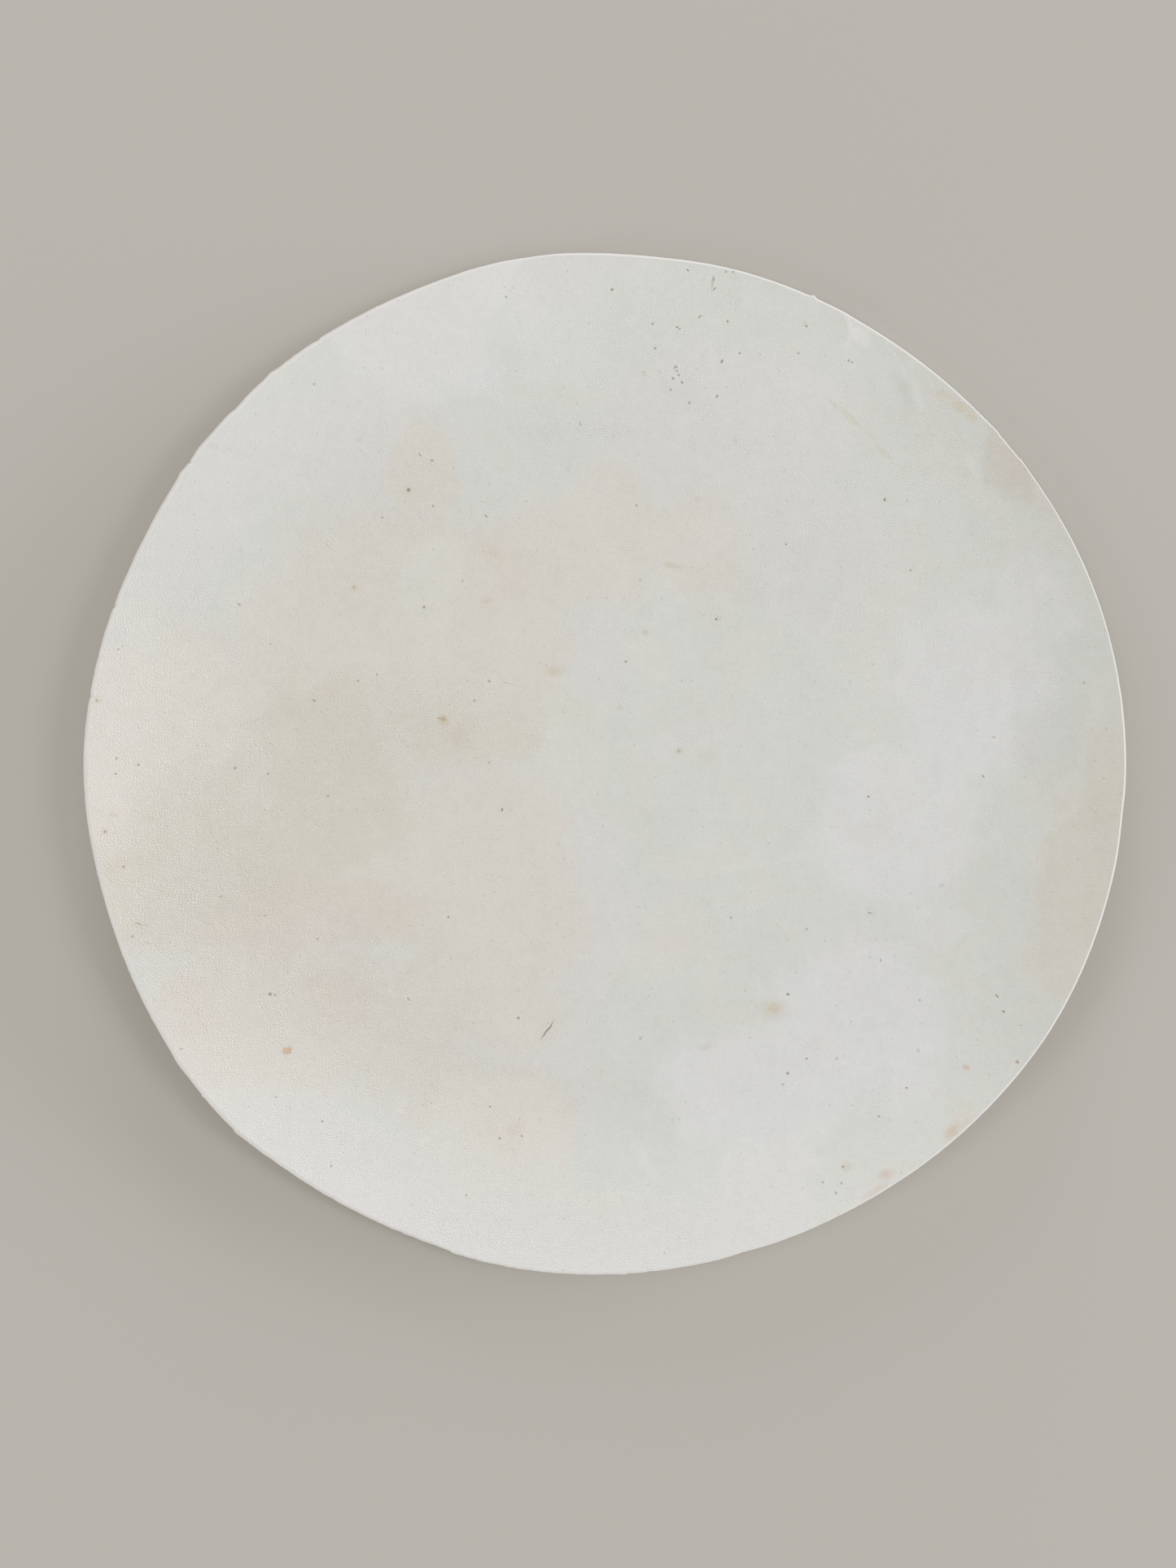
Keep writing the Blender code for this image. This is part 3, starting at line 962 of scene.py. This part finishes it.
def tint_at(x, y):
    """Return the grain side's colour at points of the plan, with painted light and shade."""
    warped_x = x + TINT_REACH * noise_at(x, y, TINT_WANDER_ACROSS)
    warped_y = y + TINT_REACH * noise_at(x, y, TINT_WANDER_DOWN)
    colour = np.tile(np.array(WHITE), (len(x), 1))
    colour = lay_tints(colour, warped_x, warped_y, TINTS)
    # Painted highlights on creases and ridges, and painted shade in dents.
    colour = lay_tints(colour, x, y, PAINTED_CREASE_LIGHT)

    # Painted light and shade round the rim.
    whiter = rim_value(np.degrees(np.arctan2(y, x)), RIM_PAINTED_LIGHT, "whiter")
    outwards = np.interp(np.hypot(x, y) / MEAN_RADIUS, RIM_PAINTED_LIGHT_SHARES, (0.0, 1.0))
    factor = 1 + (whiter - 1) * outwards**RIM_PAINTED_LIGHT_BEND
    for drift in DRIFTS:
        factor *= 1 + drift.lighter * noise_at(x, y, drift.light_wave)
        warmth = drift.warmer * noise_at(x, y, drift.warm_wave)
        colour[:, 0] *= 1 + warmth / 2
        colour[:, 2] *= 1 - warmth
    colour[:, :3] = np.minimum(colour[:, :3] * factor[:, None], WHITEST)
    return colour


def coarseness_at(x, y):
    """Return how coarse the pebbled grain is at points of the plan."""
    pebbled = USUAL_COARSENESS + COARSE_SHARE * cover_at(x, y, COARSE)
    worn = 1 - WORN_SHARE * cover_at(x, y, SMOOTH)
    return pebbled * worn + cover_at(x, y, WRINKLED)


# ------------------------------------------------------------------------ the sheet as a mesh


def angles_of(points):
    """Return the angles of a ring with that many points, in degrees."""
    return np.arange(points) * 360.0 / points


def ring_plan(bands):
    """Return the number of points and the share of the radius of each ring inside the rim."""
    plan = []
    start = 0.0
    for band in bands:
        rings = round((band.to - start) / band.step)
        insets = start + (band.to - start) * np.arange(1, rings + 1) / rings
        plan += [(band.points, 1 - inset * MM / MEAN_RADIUS) for inset in insets]
        start = band.to
    return plan


def ring_faces(inner, inner_points, outer, outer_points):
    """Return the faces between two rings, seen from above. The outer may have twice as many."""
    following = [(index + 1) % inner_points for index in range(inner_points)]
    if outer_points == inner_points:
        return [
            (inner + index, outer + index, outer + after, inner + after)
            for index, after in enumerate(following)
        ]
    return [
        (inner + index, outer + 2 * index, outer + 2 * index + 1, outer + 2 * after,
         inner + after)
        for index, after in enumerate(following)
    ]


GRAIN_SLOT, CUT_SLOT, FLESH_SLOT = range(3)


class Sheet:
    """The points and faces of the hide, gathered ring by ring."""

    def __init__(self):
        self.rings = []
        self.count = 0
        self.faces = []
        self.slots = []

    def add_ring(self, points):
        """Add a ring of points and return the number of its first one."""
        first = self.count
        self.rings.append(points)
        self.count += len(points)
        return first

    def add_faces(self, faces, slot, flip=False):
        """Add faces in a material slot, turned over where they face down."""
        self.faces += [face[::-1] for face in faces] if flip else faces
        self.slots += [slot] * len(faces)

    def add_side(self, first, edge, bands, shape, slot, flip=False):
        """Fill one side from its edge ring to the middle."""
        outer, outer_points = first, len(edge)
        for points, share in ring_plan(bands):
            plan = edge[:: len(edge) // points] * share
            inner = self.add_ring(shape(plan[:, 0], plan[:, 1]))
            self.add_faces(ring_faces(inner, points, outer, outer_points), slot, flip)
            outer, outer_points = inner, points
        middle = self.add_ring(shape(np.zeros(1), np.zeros(1)))
        fan = [
            (middle, outer + index, outer + (index + 1) % outer_points)
            for index in range(outer_points)
        ]
        self.add_faces(fan, slot, flip)


def centred(x, y, z):
    """Return points of the rim's own plan as points of the part's frame."""
    return np.stack([x - MIDDLE[0], y - MIDDLE[1], z], axis=1)


def flesh_points(x, y):
    """Return points of the flesh side over places in the rim's own plan."""
    return centred(x, y, lie_at(x - MIDDLE[0], y - MIDDLE[1])[0])


def grain_points(x, y):
    """Return points of the grain side over places in the rim's own plan."""
    plan_x = x - MIDDLE[0]
    plan_y = y - MIDDLE[1]
    height, slope = lie_at(plan_x, plan_y)
    uneven = BILLOW_DEPTH * noise_at(plan_x, plan_y, BILLOWS) + dent_height(plan_x, plan_y)
    return centred(x, y, height + THICKNESS * np.hypot(1.0, slope) + uneven)


def make_sheet():
    """Build the sheet: the slanted cut round the rim, the grain side and the flesh side."""
    angles = angles_of(RIM_POINTS)
    station = rim_at(angles)
    reach = station.reach + knife_wander(angles)

    def edge(out):
        """Return the rim's plan where the cut stands out by this share of the skive."""
        return outwards_at(angles) * (reach - station.skive * (1 - out))[:, None]

    low = flesh_points(*edge(1.0).T)
    high = grain_points(*edge(0.0).T)
    high[:, 2] -= GRAIN_EDGE_DROP
    sheet = Sheet()
    firsts = []
    for row in CUT_ROWS:
        points = low + (high - low) * row.through
        points[:, :2] = edge(row.out) - np.array(MIDDLE)
        firsts.append(sheet.add_ring(points))
    for lower, upper in zip(firsts, firsts[1:]):
        sheet.add_faces(ring_faces(upper, RIM_POINTS, lower, RIM_POINTS), CUT_SLOT)
    sheet.add_side(firsts[-1], edge(CUT_ROWS[-1].out), GRAIN_BANDS, grain_points, GRAIN_SLOT)
    sheet.add_side(firsts[0], edge(1.0), FLESH_BANDS, flesh_points, FLESH_SLOT, flip=True)
    return sheet


def keep_on_points(data, name, values):
    """Keep a value or a colour for each point of a mesh, where a material can read it."""
    kind, field = ("FLOAT", "value") if values.ndim == 1 else ("FLOAT_COLOR", "color")
    attribute = data.attributes.new(name, kind, "POINT")
    attribute.data.foreach_set(field, values.astype(np.float32).ravel())


def make_hide():
    """Make the hide of its sheet, with the looks of each point kept on it."""
    sheet = make_sheet()
    places = np.concatenate(sheet.rings)
    data = bpy.data.meshes.new("white_leather_round")
    data.from_pydata(places, [], sheet.faces)
    data.update()
    data.polygons.foreach_set("material_index", sheet.slots)

    through = np.repeat([row.through for row in CUT_ROWS], RIM_POINTS)
    share = rim_value(np.tile(angles_of(RIM_POINTS), len(CUT_ROWS)), CUT_PAINTED_SHADE, "share")
    # Painted shade on the lower half of the cut.
    painted_cut_shade = np.interp(through, CUT_PAINTED_SHADE_UP_TO, (1.0, 0.0)) * share
    off_the_cut = (0, len(places) - len(through))
    keep_on_points(data, "through", np.pad(through, off_the_cut))
    keep_on_points(data, "painted_cut_shade", np.pad(painted_cut_shade, off_the_cut))
    x, y = places[:, 0], places[:, 1]
    # The grain side's colours, with its painted light and shade.
    keep_on_points(data, "tint_and_painted_light", tint_at(x, y))
    keep_on_points(data, "coarse", coarseness_at(x, y))
    keep_on_points(data, "pored", cover_at(x, y, PORED))

    hide = bpy.data.objects.new("white_leather_round", data)
    bpy.context.scene.collection.objects.link(hide)
    return hide


# ------------------------------------------------------------------------- tools for materials

VECTOR = "NodeSocketVector"
FLOAT = "NodeSocketFloat"

# The sockets of a Mix node that hold its share and its colours.
SHARE, UNDER, OVER = 0, 6, 7
MIXED = 2

# How far apart nodes are laid out.
COLUMN_WIDTH = 240
ROW_HEIGHT = 260


def add_node(tree, kind, sockets=None, **settings):
    """Add a node with these settings, and set or link its input sockets."""
    node = tree.nodes.new(kind)
    for name, value in settings.items():
        setattr(node, name, value)
    for socket, value in (sockets or {}).items():
        if isinstance(value, bpy.types.NodeSocket):
            tree.links.new(value, node.inputs[socket])
        else:
            node.inputs[socket].default_value = value
    return node


def add_texture(tree, kind, place, pitch, sockets, **settings):
    """Add a texture whose clouds or cells are this far apart, and return its outputs."""
    scale = calculate(tree, "DIVIDE", 1.0, pitch)
    return add_node(tree, kind, {"Vector": place, "Scale": scale} | sockets, **settings).outputs


def calculate(tree, operation, *values):
    """Return the result of a Math node."""
    node = add_node(tree, "ShaderNodeMath", dict(enumerate(values)), operation=operation)
    return node.outputs[0]


def calculate_vector(tree, operation, *vectors):
    """Return the result of a Vector Math node: a vector, or else a length."""
    node = add_node(tree, "ShaderNodeVectorMath", dict(enumerate(vectors)), operation=operation)
    return node.outputs["Value" if operation in ("DISTANCE", "LENGTH") else "Vector"]


def turn_round(tree, vector, angle, back=False):
    """Return a vector turned by an angle in the plan, or turned back by it."""
    sockets = {"Vector": vector, "Angle": angle}
    settings = {"rotation_type": "Z_AXIS", "invert": back}
    return add_node(tree, "ShaderNodeVectorRotate", sockets, **settings).outputs[0]


def flatten(tree, place):
    """Return the point of the plan under a place."""
    return calculate_vector(tree, "MULTIPLY", place, (1.0, 1.0, 0.0))


def rescale(tree, value, span, to_span, smooth=False):
    """Return a value moved from one span to another and held inside it."""
    sockets = {
        "Value": value,
        "From Min": span[0],
        "From Max": span[1],
        "To Min": to_span[0],
        "To Max": to_span[1],
    }
    # A smooth step never leaves its span, so it needs no clamp.
    kind, clamp = ("SMOOTHSTEP", False) if smooth else ("LINEAR", True)
    node = add_node(tree, "ShaderNodeMapRange", sockets, interpolation_type=kind, clamp=clamp)
    return node.outputs["Result"]


def lay_over(tree, share, under, over, blend="MIX"):
    """Return one colour laid over another."""
    sockets = {SHARE: share, UNDER: under, OVER: over}
    node = add_node(tree, "ShaderNodeMix", sockets, data_type="RGBA", blend_type=blend)
    return node.outputs[MIXED]


def vary(tree, colour, factor):
    """Return a colour made lighter or darker by a factor."""
    return lay_over(tree, 1.0, colour, factor, "MULTIPLY")


def start_group(name, inputs, outputs):
    """Start a node group, and return it with what it is given and what it gives back."""
    group = bpy.data.node_groups.new(name, "ShaderNodeTree")
    for socket, kind in inputs.items():
        group.interface.new_socket(socket, in_out="INPUT", socket_type=kind)
    for socket, kind in outputs.items():
        group.interface.new_socket(socket, in_out="OUTPUT", socket_type=kind)
    given = group.nodes.new("NodeGroupInput").outputs
    result = group.nodes.new("NodeGroupOutput").inputs
    return group, given, result


def finish_group(group, value, socket):
    """Give a value back through a group's output socket, and return the group."""
    group.links.new(value, socket)
    arrange(group)
    return group


def use_group(tree, group, sockets):
    """Place a node group in a material or in another group, and return its output."""
    return add_node(tree, "ShaderNodeGroup", sockets, node_tree=group).outputs[0]


def arrange(tree):
    """Lay the nodes out in columns, each to the left of what it feeds."""
    columns = {node.name: 0 for node in tree.nodes}
    moved = True
    while moved:
        moved = False
        for link in tree.links:
            wanted = columns[link.to_node.name] + 1
            if columns[link.from_node.name] < wanted:
                columns[link.from_node.name] = wanted
                moved = True
    rows = {}
    for node in tree.nodes:
        column = columns[node.name]
        rows[column] = rows.get(column, 0) + 1
        node.location = (-COLUMN_WIDTH * column, -ROW_HEIGHT * (rows[column] - 1))


# --------------------------------------------------------------------------- effects as groups


def make_wander():
    """A group that bends the plan a little, so that outlines wander as those of real stains."""
    group, given, result = start_group(
        "wander", {"Vector": VECTOR, "Pitch": FLOAT, "Reach": FLOAT}, {"Vector": VECTOR}
    )
    clouds = add_texture(
        group,
        "ShaderNodeTexNoise",
        given["Vector"],
        given["Pitch"],
        {"Detail": 1.0},
        noise_dimensions="2D",
    )
    offset = calculate_vector(group, "SUBTRACT", clouds["Color"], CLOUD_MIDDLE)
    move = add_node(
        group, "ShaderNodeVectorMath", {0: offset, "Scale": given["Reach"]}, operation="SCALE"
    )
    moved = calculate_vector(group, "ADD", given["Vector"], move.outputs[0])
    return finish_group(group, flatten(group, moved), result["Vector"])


def soften_outline(tree, away, radius, soft, strength):
    """Return a mark's strength inside its radius, and 0 outside its soft outline."""
    fade = calculate(tree, "MULTIPLY", radius, soft)
    outline = (calculate(tree, "SUBTRACT", radius, fade), calculate(tree, "ADD", radius, fade))
    return rescale(tree, away, outline, (strength, 0.0), smooth=True)


def make_spot():
    """A group that gives one round mark."""
    inputs = {"Vector": VECTOR, "Centre": VECTOR, "Radius": FLOAT}
    inputs |= {"Softness": FLOAT, "Strength": FLOAT}
    group, given, result = start_group("spot", inputs, {"Mask": FLOAT})
    away = calculate_vector(group, "DISTANCE", given["Vector"], given["Centre"])
    mask = soften_outline(group, away, given["Radius"], given["Softness"], given["Strength"])
    return finish_group(group, mask, result["Mask"])


def make_streak():
    """A group that gives one long mark. Its size is half its length and half its width."""
    inputs = {"Vector": VECTOR, "Centre": VECTOR, "Turn": FLOAT, "Size": VECTOR}
    inputs |= {"Softness": FLOAT, "Strength": FLOAT}
    group, given, result = start_group("streak", inputs, {"Mask": FLOAT})
    from_centre = calculate_vector(group, "SUBTRACT", given["Vector"], given["Centre"])
    turned = turn_round(group, from_centre, given["Turn"], back=True)
    away = calculate_vector(
        group, "LENGTH", calculate_vector(group, "DIVIDE", turned, given["Size"])
    )
    mask = soften_outline(group, away, 1.0, given["Softness"], given["Strength"])
    return finish_group(group, mask, result["Mask"])


def make_mottle(name, dimensions):
    """A group that gives a factor round 1, which drifts from place to place."""
    group, given, result = start_group(
        name, {"Vector": VECTOR, "Pitch": FLOAT, "Depth": FLOAT}, {"Factor": FLOAT}
    )
    clouds = add_texture(
        group,
        "ShaderNodeTexNoise",
        given["Vector"],
        given["Pitch"],
        {"Detail": 2.0, "Roughness": 0.6},
        noise_dimensions=dimensions,
    )
    drift = rescale(group, clouds["Fac"], MOTTLE_SPAN, (-1.0, 1.0))
    depth = calculate(group, "MULTIPLY", drift, given["Depth"])
    return finish_group(group, calculate(group, "ADD", 1.0, depth), result["Factor"])


def make_ticks():
    """A group that gives short sparse ticks, each turned its own way, as open pores lie."""
    inputs = {"Vector": VECTOR, "Pitch": FLOAT, "Length": FLOAT, "Width": FLOAT, "Share": FLOAT}
    group, given, result = start_group("ticks", inputs, {"Mask": FLOAT})
    cells = add_texture(
        group,
        "ShaderNodeTexVoronoi",
        given["Vector"],
        given["Pitch"],
        {"Randomness": 1.0},
        voronoi_dimensions="2D",
    )
    chance = add_node(group, "ShaderNodeSeparateColor", {0: cells["Color"]}).outputs
    from_middle = calculate_vector(group, "SUBTRACT", given["Vector"], cells["Position"])
    turned = turn_round(group, from_middle, calculate(group, "MULTIPLY", chance["Red"], pi))
    parts = add_node(group, "ShaderNodeSeparateXYZ", {0: turned}).outputs
    share_of_length = rescale(group, chance["Blue"], (0.0, 1.0), TICK_LENGTHS)
    length = calculate(group, "MULTIPLY", given["Length"], share_of_length)
    along = calculate(group, "DIVIDE", parts["X"], length)
    aside = calculate(group, "DIVIDE", parts["Y"], given["Width"])
    squares = [calculate(group, "MULTIPLY", part, part) for part in (along, aside)]
    away = calculate(group, "SQRT", calculate(group, "ADD", *squares))
    there = calculate(group, "LESS_THAN", chance["Green"], given["Share"])
    tick = rescale(group, away, TICK_OUTLINE, (1.0, 0.0), smooth=True)
    return finish_group(group, calculate(group, "MULTIPLY", there, tick), result["Mask"])


def make_pebbles(wander):
    """A group that gives the grain's pebbles: 0 in the wrinkles between them, 1 on their tops."""
    group, given, result = start_group(
        "pebbles", {"Vector": VECTOR, "Pitch": FLOAT}, {"Height": FLOAT}
    )
    place = given["Vector"]
    for bend in PEBBLE_BENDS:
        place = use_group(group, wander, {
            "Vector": place,
            "Pitch": calculate(group, "MULTIPLY", given["Pitch"], bend.pitch),
            "Reach": calculate(group, "MULTIPLY", given["Pitch"], bend.reach),
        })
    cells = add_texture(
        group,
        "ShaderNodeTexVoronoi",
        place,
        given["Pitch"],
        {"Randomness": PEBBLE_RANDOMNESS},
        voronoi_dimensions="2D",
        feature="DISTANCE_TO_EDGE",
    )
    domes = rescale(group, cells["Distance"], PEBBLE_SIDE, (0.0, 1.0), smooth=True)
    return finish_group(group, domes, result["Height"])


WANDER = make_wander()
SPOT = make_spot()
STREAK = make_streak()
MOTTLE = make_mottle("mottle", "2D")
FIBRES = make_mottle("fibres", "3D")
TICKS = make_ticks()
PEBBLES = make_pebbles(WANDER)


def bend_place(tree, place, bend):
    """Return the plan bent a little."""
    sockets = {"Vector": place, "Pitch": bend.pitch * MM, "Reach": bend.reach * MM}
    return use_group(tree, WANDER, sockets)


def mottle(tree, group, place, unevenness):
    """Return a factor round 1 that drifts from place to place."""
    sockets = {"Vector": place, "Pitch": unevenness.pitch * MM, "Depth": unevenness.depth}
    return use_group(tree, group, sockets)


# ---------------------------------------------------------------------------------- materials


def start_material(finish):
    """Start a material with this finish, and return it with its node tree and its shader."""
    material = bpy.data.materials.new(finish.name)
    material.use_nodes = True
    shader = material.node_tree.nodes["Principled BSDF"]
    shader.inputs["Roughness"].default_value = finish.roughness
    shader.inputs["Specular IOR Level"].default_value = finish.shine
    shader.inputs["Sheen Weight"].default_value = finish.nap
    shader.inputs["Sheen Roughness"].default_value = NAP_ROUGHNESS
    return material, material.node_tree, shader


def place_on_piece(tree):
    """Return the place on the piece, in metres."""
    return add_node(tree, "ShaderNodeTexCoord").outputs["Object"]


def read_points(tree, name, output="Fac"):
    """Return what is kept under this name for each point of the mesh."""
    return add_node(tree, "ShaderNodeAttribute", attribute_name=name).outputs[output]


def lay_marks(tree, place, marks):
    """Return the mask of all these marks, each as strong as its row says."""
    mask = 0.0
    for mark in marks:
        sockets = {
            "Vector": place,
            "Centre": (*on_hide(mark.across, mark.down), 0.0),
            "Softness": mark.soft,
            "Strength": mark.strength,
        }
        if mark.long == mark.wide:
            one = use_group(tree, SPOT, sockets | {"Radius": mark.wide * MM / 2})
        else:
            size = (mark.long * MM / 2, mark.wide * MM / 2, 1.0)
            one = use_group(tree, STREAK, sockets | {"Turn": radians(mark.turn), "Size": size})
        mask = calculate(tree, "MAXIMUM", mask, one)
    return mask


def raise_surface(tree, shader, height):
    """Bump a material by a height in millimetres."""
    bump = add_node(tree, "ShaderNodeBump", {"Height": height, "Distance": MM, "Strength": 1.0})
    tree.links.new(bump.outputs["Normal"], shader.inputs["Normal"])


def stained_white(tree, place):
    """Return the white of the grain side, tinted, mottled and spotted, with its painted light and
    shade.
    """
    spot_place = bend_place(tree, place, SPOT_BEND)
    colour = read_points(tree, "tint_and_painted_light", "Color")
    for unevenness in WHITE_MOTTLES:
        colour = vary(tree, colour, mottle(tree, MOTTLE, place, unevenness))
    for spot in SPOTS:
        colour = lay_over(tree, lay_marks(tree, spot_place, spot.marks), colour, spot.colour)
    return colour


def open_pores(tree, place):
    """Return the mask of the fine pores, which lie close together where the hide is pored."""
    pored = read_points(tree, "pored")
    mask = 0.0
    for pore in FINE_PORES:
        sockets = {
            "Vector": place,
            "Pitch": pore.pitch * MM,
            "Length": pore.long * MM,
            "Width": pore.wide * MM,
            "Share": rescale(tree, pored, (0.0, 1.0), (pore.fewest, pore.most)),
        }
        dark = calculate(tree, "MULTIPLY", pore.strength, use_group(tree, TICKS, sockets))
        mask = calculate(tree, "MAXIMUM", mask, dark)
    return mask


def grain_material():
    """The grain side: white, tinted and stained as the photograph shows, and finely pebbled."""
    material, tree, shader = start_material(GRAIN_FINISH)
    place = flatten(tree, place_on_piece(tree))
    colour = stained_white(tree, place)
    pebbles = use_group(tree, PEBBLES, {"Vector": place, "Pitch": PEBBLE_PITCH})
    ticks = open_pores(tree, place)
    pores = calculate(tree, "MAXIMUM", ticks, lay_marks(tree, place, PORES))
    colour = lay_over(tree, pores, colour, PORE_COLOUR)
    scratch_place = bend_place(tree, place, SCRATCH_BEND)
    scratched = 0.0
    for scratch in SCRATCHES:
        mask = lay_marks(tree, scratch_place, scratch.marks)
        colour = lay_over(tree, mask, colour, scratch.colour)
        scratched = calculate(tree, "MAXIMUM", scratched, mask)

    coarseness = read_points(tree, "coarse")
    # Dust and painted shade in the wrinkles between the pebbles.
    wrinkles = rescale(tree, pebbles, WRINKLE_SPAN, (1.0, 0.0))
    dust_and_shade = rescale(tree, coarseness, COARSENESS_SPAN, WRINKLE_DUST_AND_SHADE)
    colour = lay_over(tree, calculate(tree, "MULTIPLY", wrinkles, dust_and_shade), colour, DUST_AND_SHADE_COLOUR)
    tree.links.new(colour, shader.inputs["Base Color"])

    relief = rescale(tree, coarseness, COARSENESS_SPAN, PEBBLE_RELIEF)
    grain_height = calculate(tree, "MULTIPLY", pebbles, relief)
    pressed = calculate(
        tree,
        "ADD",
        calculate(tree, "MULTIPLY", ticks, PORE_DEPTH),
        calculate(tree, "MULTIPLY", scratched, SCRATCH_DEPTH),
    )
    raise_surface(tree, shader, calculate(tree, "SUBTRACT", grain_height, pressed))

    worn = mottle(tree, MOTTLE, place, WEAR)
    roughness = rescale(tree, pebbles, (0.0, 1.0), PEBBLE_ROUGHNESS)
    tree.links.new(calculate(tree, "MULTIPLY", worn, roughness), shader.inputs["Roughness"])
    arrange(tree)
    return material


def cut_material():
    """The cut: bare pinkish fibres, painted shade along its groove and on its lower half."""
    material, tree, shader = start_material(CUT_FINISH)
    place = place_on_piece(tree)
    through = read_points(tree, "through")
    ragged = calculate(tree, "MULTIPLY", through, mottle(tree, FIBRES, place, CUT_RAGGEDNESS))
    shades = add_node(tree, "ShaderNodeValToRGB", {"Fac": ragged})
    ramp = shades.color_ramp.elements
    ramp[0].position, ramp[0].color = CUT_SHADES[0]
    ramp[1].position, ramp[1].color = CUT_SHADES[-1]
    for shade in CUT_SHADES[1:-1]:
        ramp.new(shade.through).color = shade.colour
    fibres = mottle(tree, FIBRES, place, CUT_FIBRES)
    colour = vary(tree, shades.outputs["Color"], fibres)
    colour = vary(tree, colour, mottle(tree, MOTTLE, place, CUT_MOTTLE))
    # Painted shade on the lower half of the cut.
    colour = lay_over(tree, read_points(tree, "painted_cut_shade"), colour, CUT_PAINTED_SHADE_COLOUR)
    tree.links.new(colour, shader.inputs["Base Color"])
    raise_surface(tree, shader, calculate(tree, "MULTIPLY", fibres, CUT_FIBRE_HEIGHT))
    arrange(tree)
    return material


def flesh_material():
    """The flesh side: a short matted nap, mottled where the fibres lie different ways."""
    material, tree, shader = start_material(FLESH_FINISH)
    combed = bend_place(tree, place_on_piece(tree), NAP_BEND)
    drawn = add_node(tree, "ShaderNodeMapping", {"Vector": combed, "Scale": NAP_DRAW}).outputs[0]
    nap = mottle(tree, MOTTLE, drawn, NAP_FIBRES)
    tufts = mottle(tree, MOTTLE, combed, NAP_TUFTS)
    colour = vary(tree, vary(tree, FLESH_COLOUR, nap), tufts)
    tree.links.new(colour, shader.inputs["Base Color"])
    height = calculate(
        tree,
        "ADD",
        calculate(tree, "MULTIPLY", nap, NAP_FIBRE_HEIGHT),
        calculate(tree, "MULTIPLY", tufts, NAP_TUFT_HEIGHT),
    )
    raise_surface(tree, shader, height)
    arrange(tree)
    return material


# --------------------------------------------------------------------------------- the pieces


def map_for_baking(piece):
    """Lay the grain side and the cut flat in one corner of a map, and the flesh in the other."""
    data = piece.data
    places = np.zeros(len(data.vertices) * 3, np.float32)
    corners = np.zeros(len(data.loops), np.int32)
    sizes = np.zeros(len(data.polygons), np.int32)
    slots = np.zeros(len(data.polygons), np.int32)
    data.vertices.foreach_get("co", places)
    data.loops.foreach_get("vertex_index", corners)
    data.polygons.foreach_get("loop_total", sizes)
    data.polygons.foreach_get("material_index", slots)
    plan = places.reshape(-1, 3)[corners, :2]
    is_flesh = np.repeat(slots, sizes) == FLESH_SLOT
    grain_u, grain_v, grain_scale = GRAIN_MAP
    flesh_u, flesh_v, flesh_scale = FLESH_MAP
    on_map = np.where(
        is_flesh[:, None],
        plan * (-flesh_scale, flesh_scale) + (flesh_u, flesh_v),
        plan * grain_scale + (grain_u, grain_v),
    )
    layer = data.uv_layers.new(name="OFBake")
    layer.uv.foreach_set("vector", on_map.astype(np.float32).ravel())


hide = make_hide()
for make in (grain_material, cut_material, flesh_material):
    hide.data.materials.append(make())
map_for_baking(hide)
bpy.ops.object.select_all(action="DESELECT")
hide.select_set(True)
bpy.context.view_layer.objects.active = hide
bpy.ops.object.shade_smooth_by_angle(angle=radians(EDGE_ANGLE))

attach(hide, "root")
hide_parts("hide")


# ---------------------------------------------------------------- floor, lights and the camera


def make_floor():
    """Lay a plain pale floor."""
    bpy.ops.object.select_all(action="DESELECT")
    bpy.ops.mesh.primitive_plane_add(size=FLOOR_SIZE, location=(0.0, 0.0, -FLOOR_DROP))
    floor = bpy.context.object
    floor.name = "floor"
    material, _, shader = start_material(FLOOR_FINISH)
    shader.inputs["Base Color"].default_value = FLOOR_COLOUR
    floor.data.materials.append(material)
    return floor


def add_panel(panel):
    """Hang a panel of light, facing the hide."""
    data = bpy.data.lights.new(panel.name, "AREA")
    data.shape = "RECTANGLE"
    data.size = panel.wide
    data.size_y = panel.high
    data.energy = panel.watts
    data.color = PANEL_COLOUR
    light = bpy.data.objects.new(panel.name, data)
    round_to = radians(panel.azimuth)
    up = radians(panel.elevation)
    away = Vector((cos(up) * cos(round_to), cos(up) * sin(round_to), sin(up)))
    light.location = away * PANEL_DISTANCE
    light.rotation_euler = away.to_track_quat("Z", "Y").to_euler()
    light.visible_camera = False
    bpy.context.scene.collection.objects.link(light)


def light_room():
    """Fill the room with even light."""
    world = bpy.data.worlds.new("room")
    world.use_nodes = True
    background = world.node_tree.nodes["Background"]
    background.inputs["Color"].default_value = ROOM_COLOUR
    background.inputs["Strength"].default_value = ROOM_STRENGTH
    bpy.context.scene.world = world


def add_camera():
    """Stand the camera straight above the hide, as the photograph was taken."""
    data = bpy.data.cameras.new("camera")
    data.sensor_width = SENSOR_LONG_SIDE
    data.lens = SENSOR_LONG_SIDE * FOCAL_PIXELS / PHOTO_HEIGHT
    camera = bpy.data.objects.new("camera", data)
    camera.location = (*CAMERA_FOOT, CAMERA_HEIGHT)
    bpy.context.scene.collection.objects.link(camera)
    bpy.context.scene.camera = camera


floor = make_floor()
for panel in PANELS:
    add_panel(panel)
light_room()
add_camera()
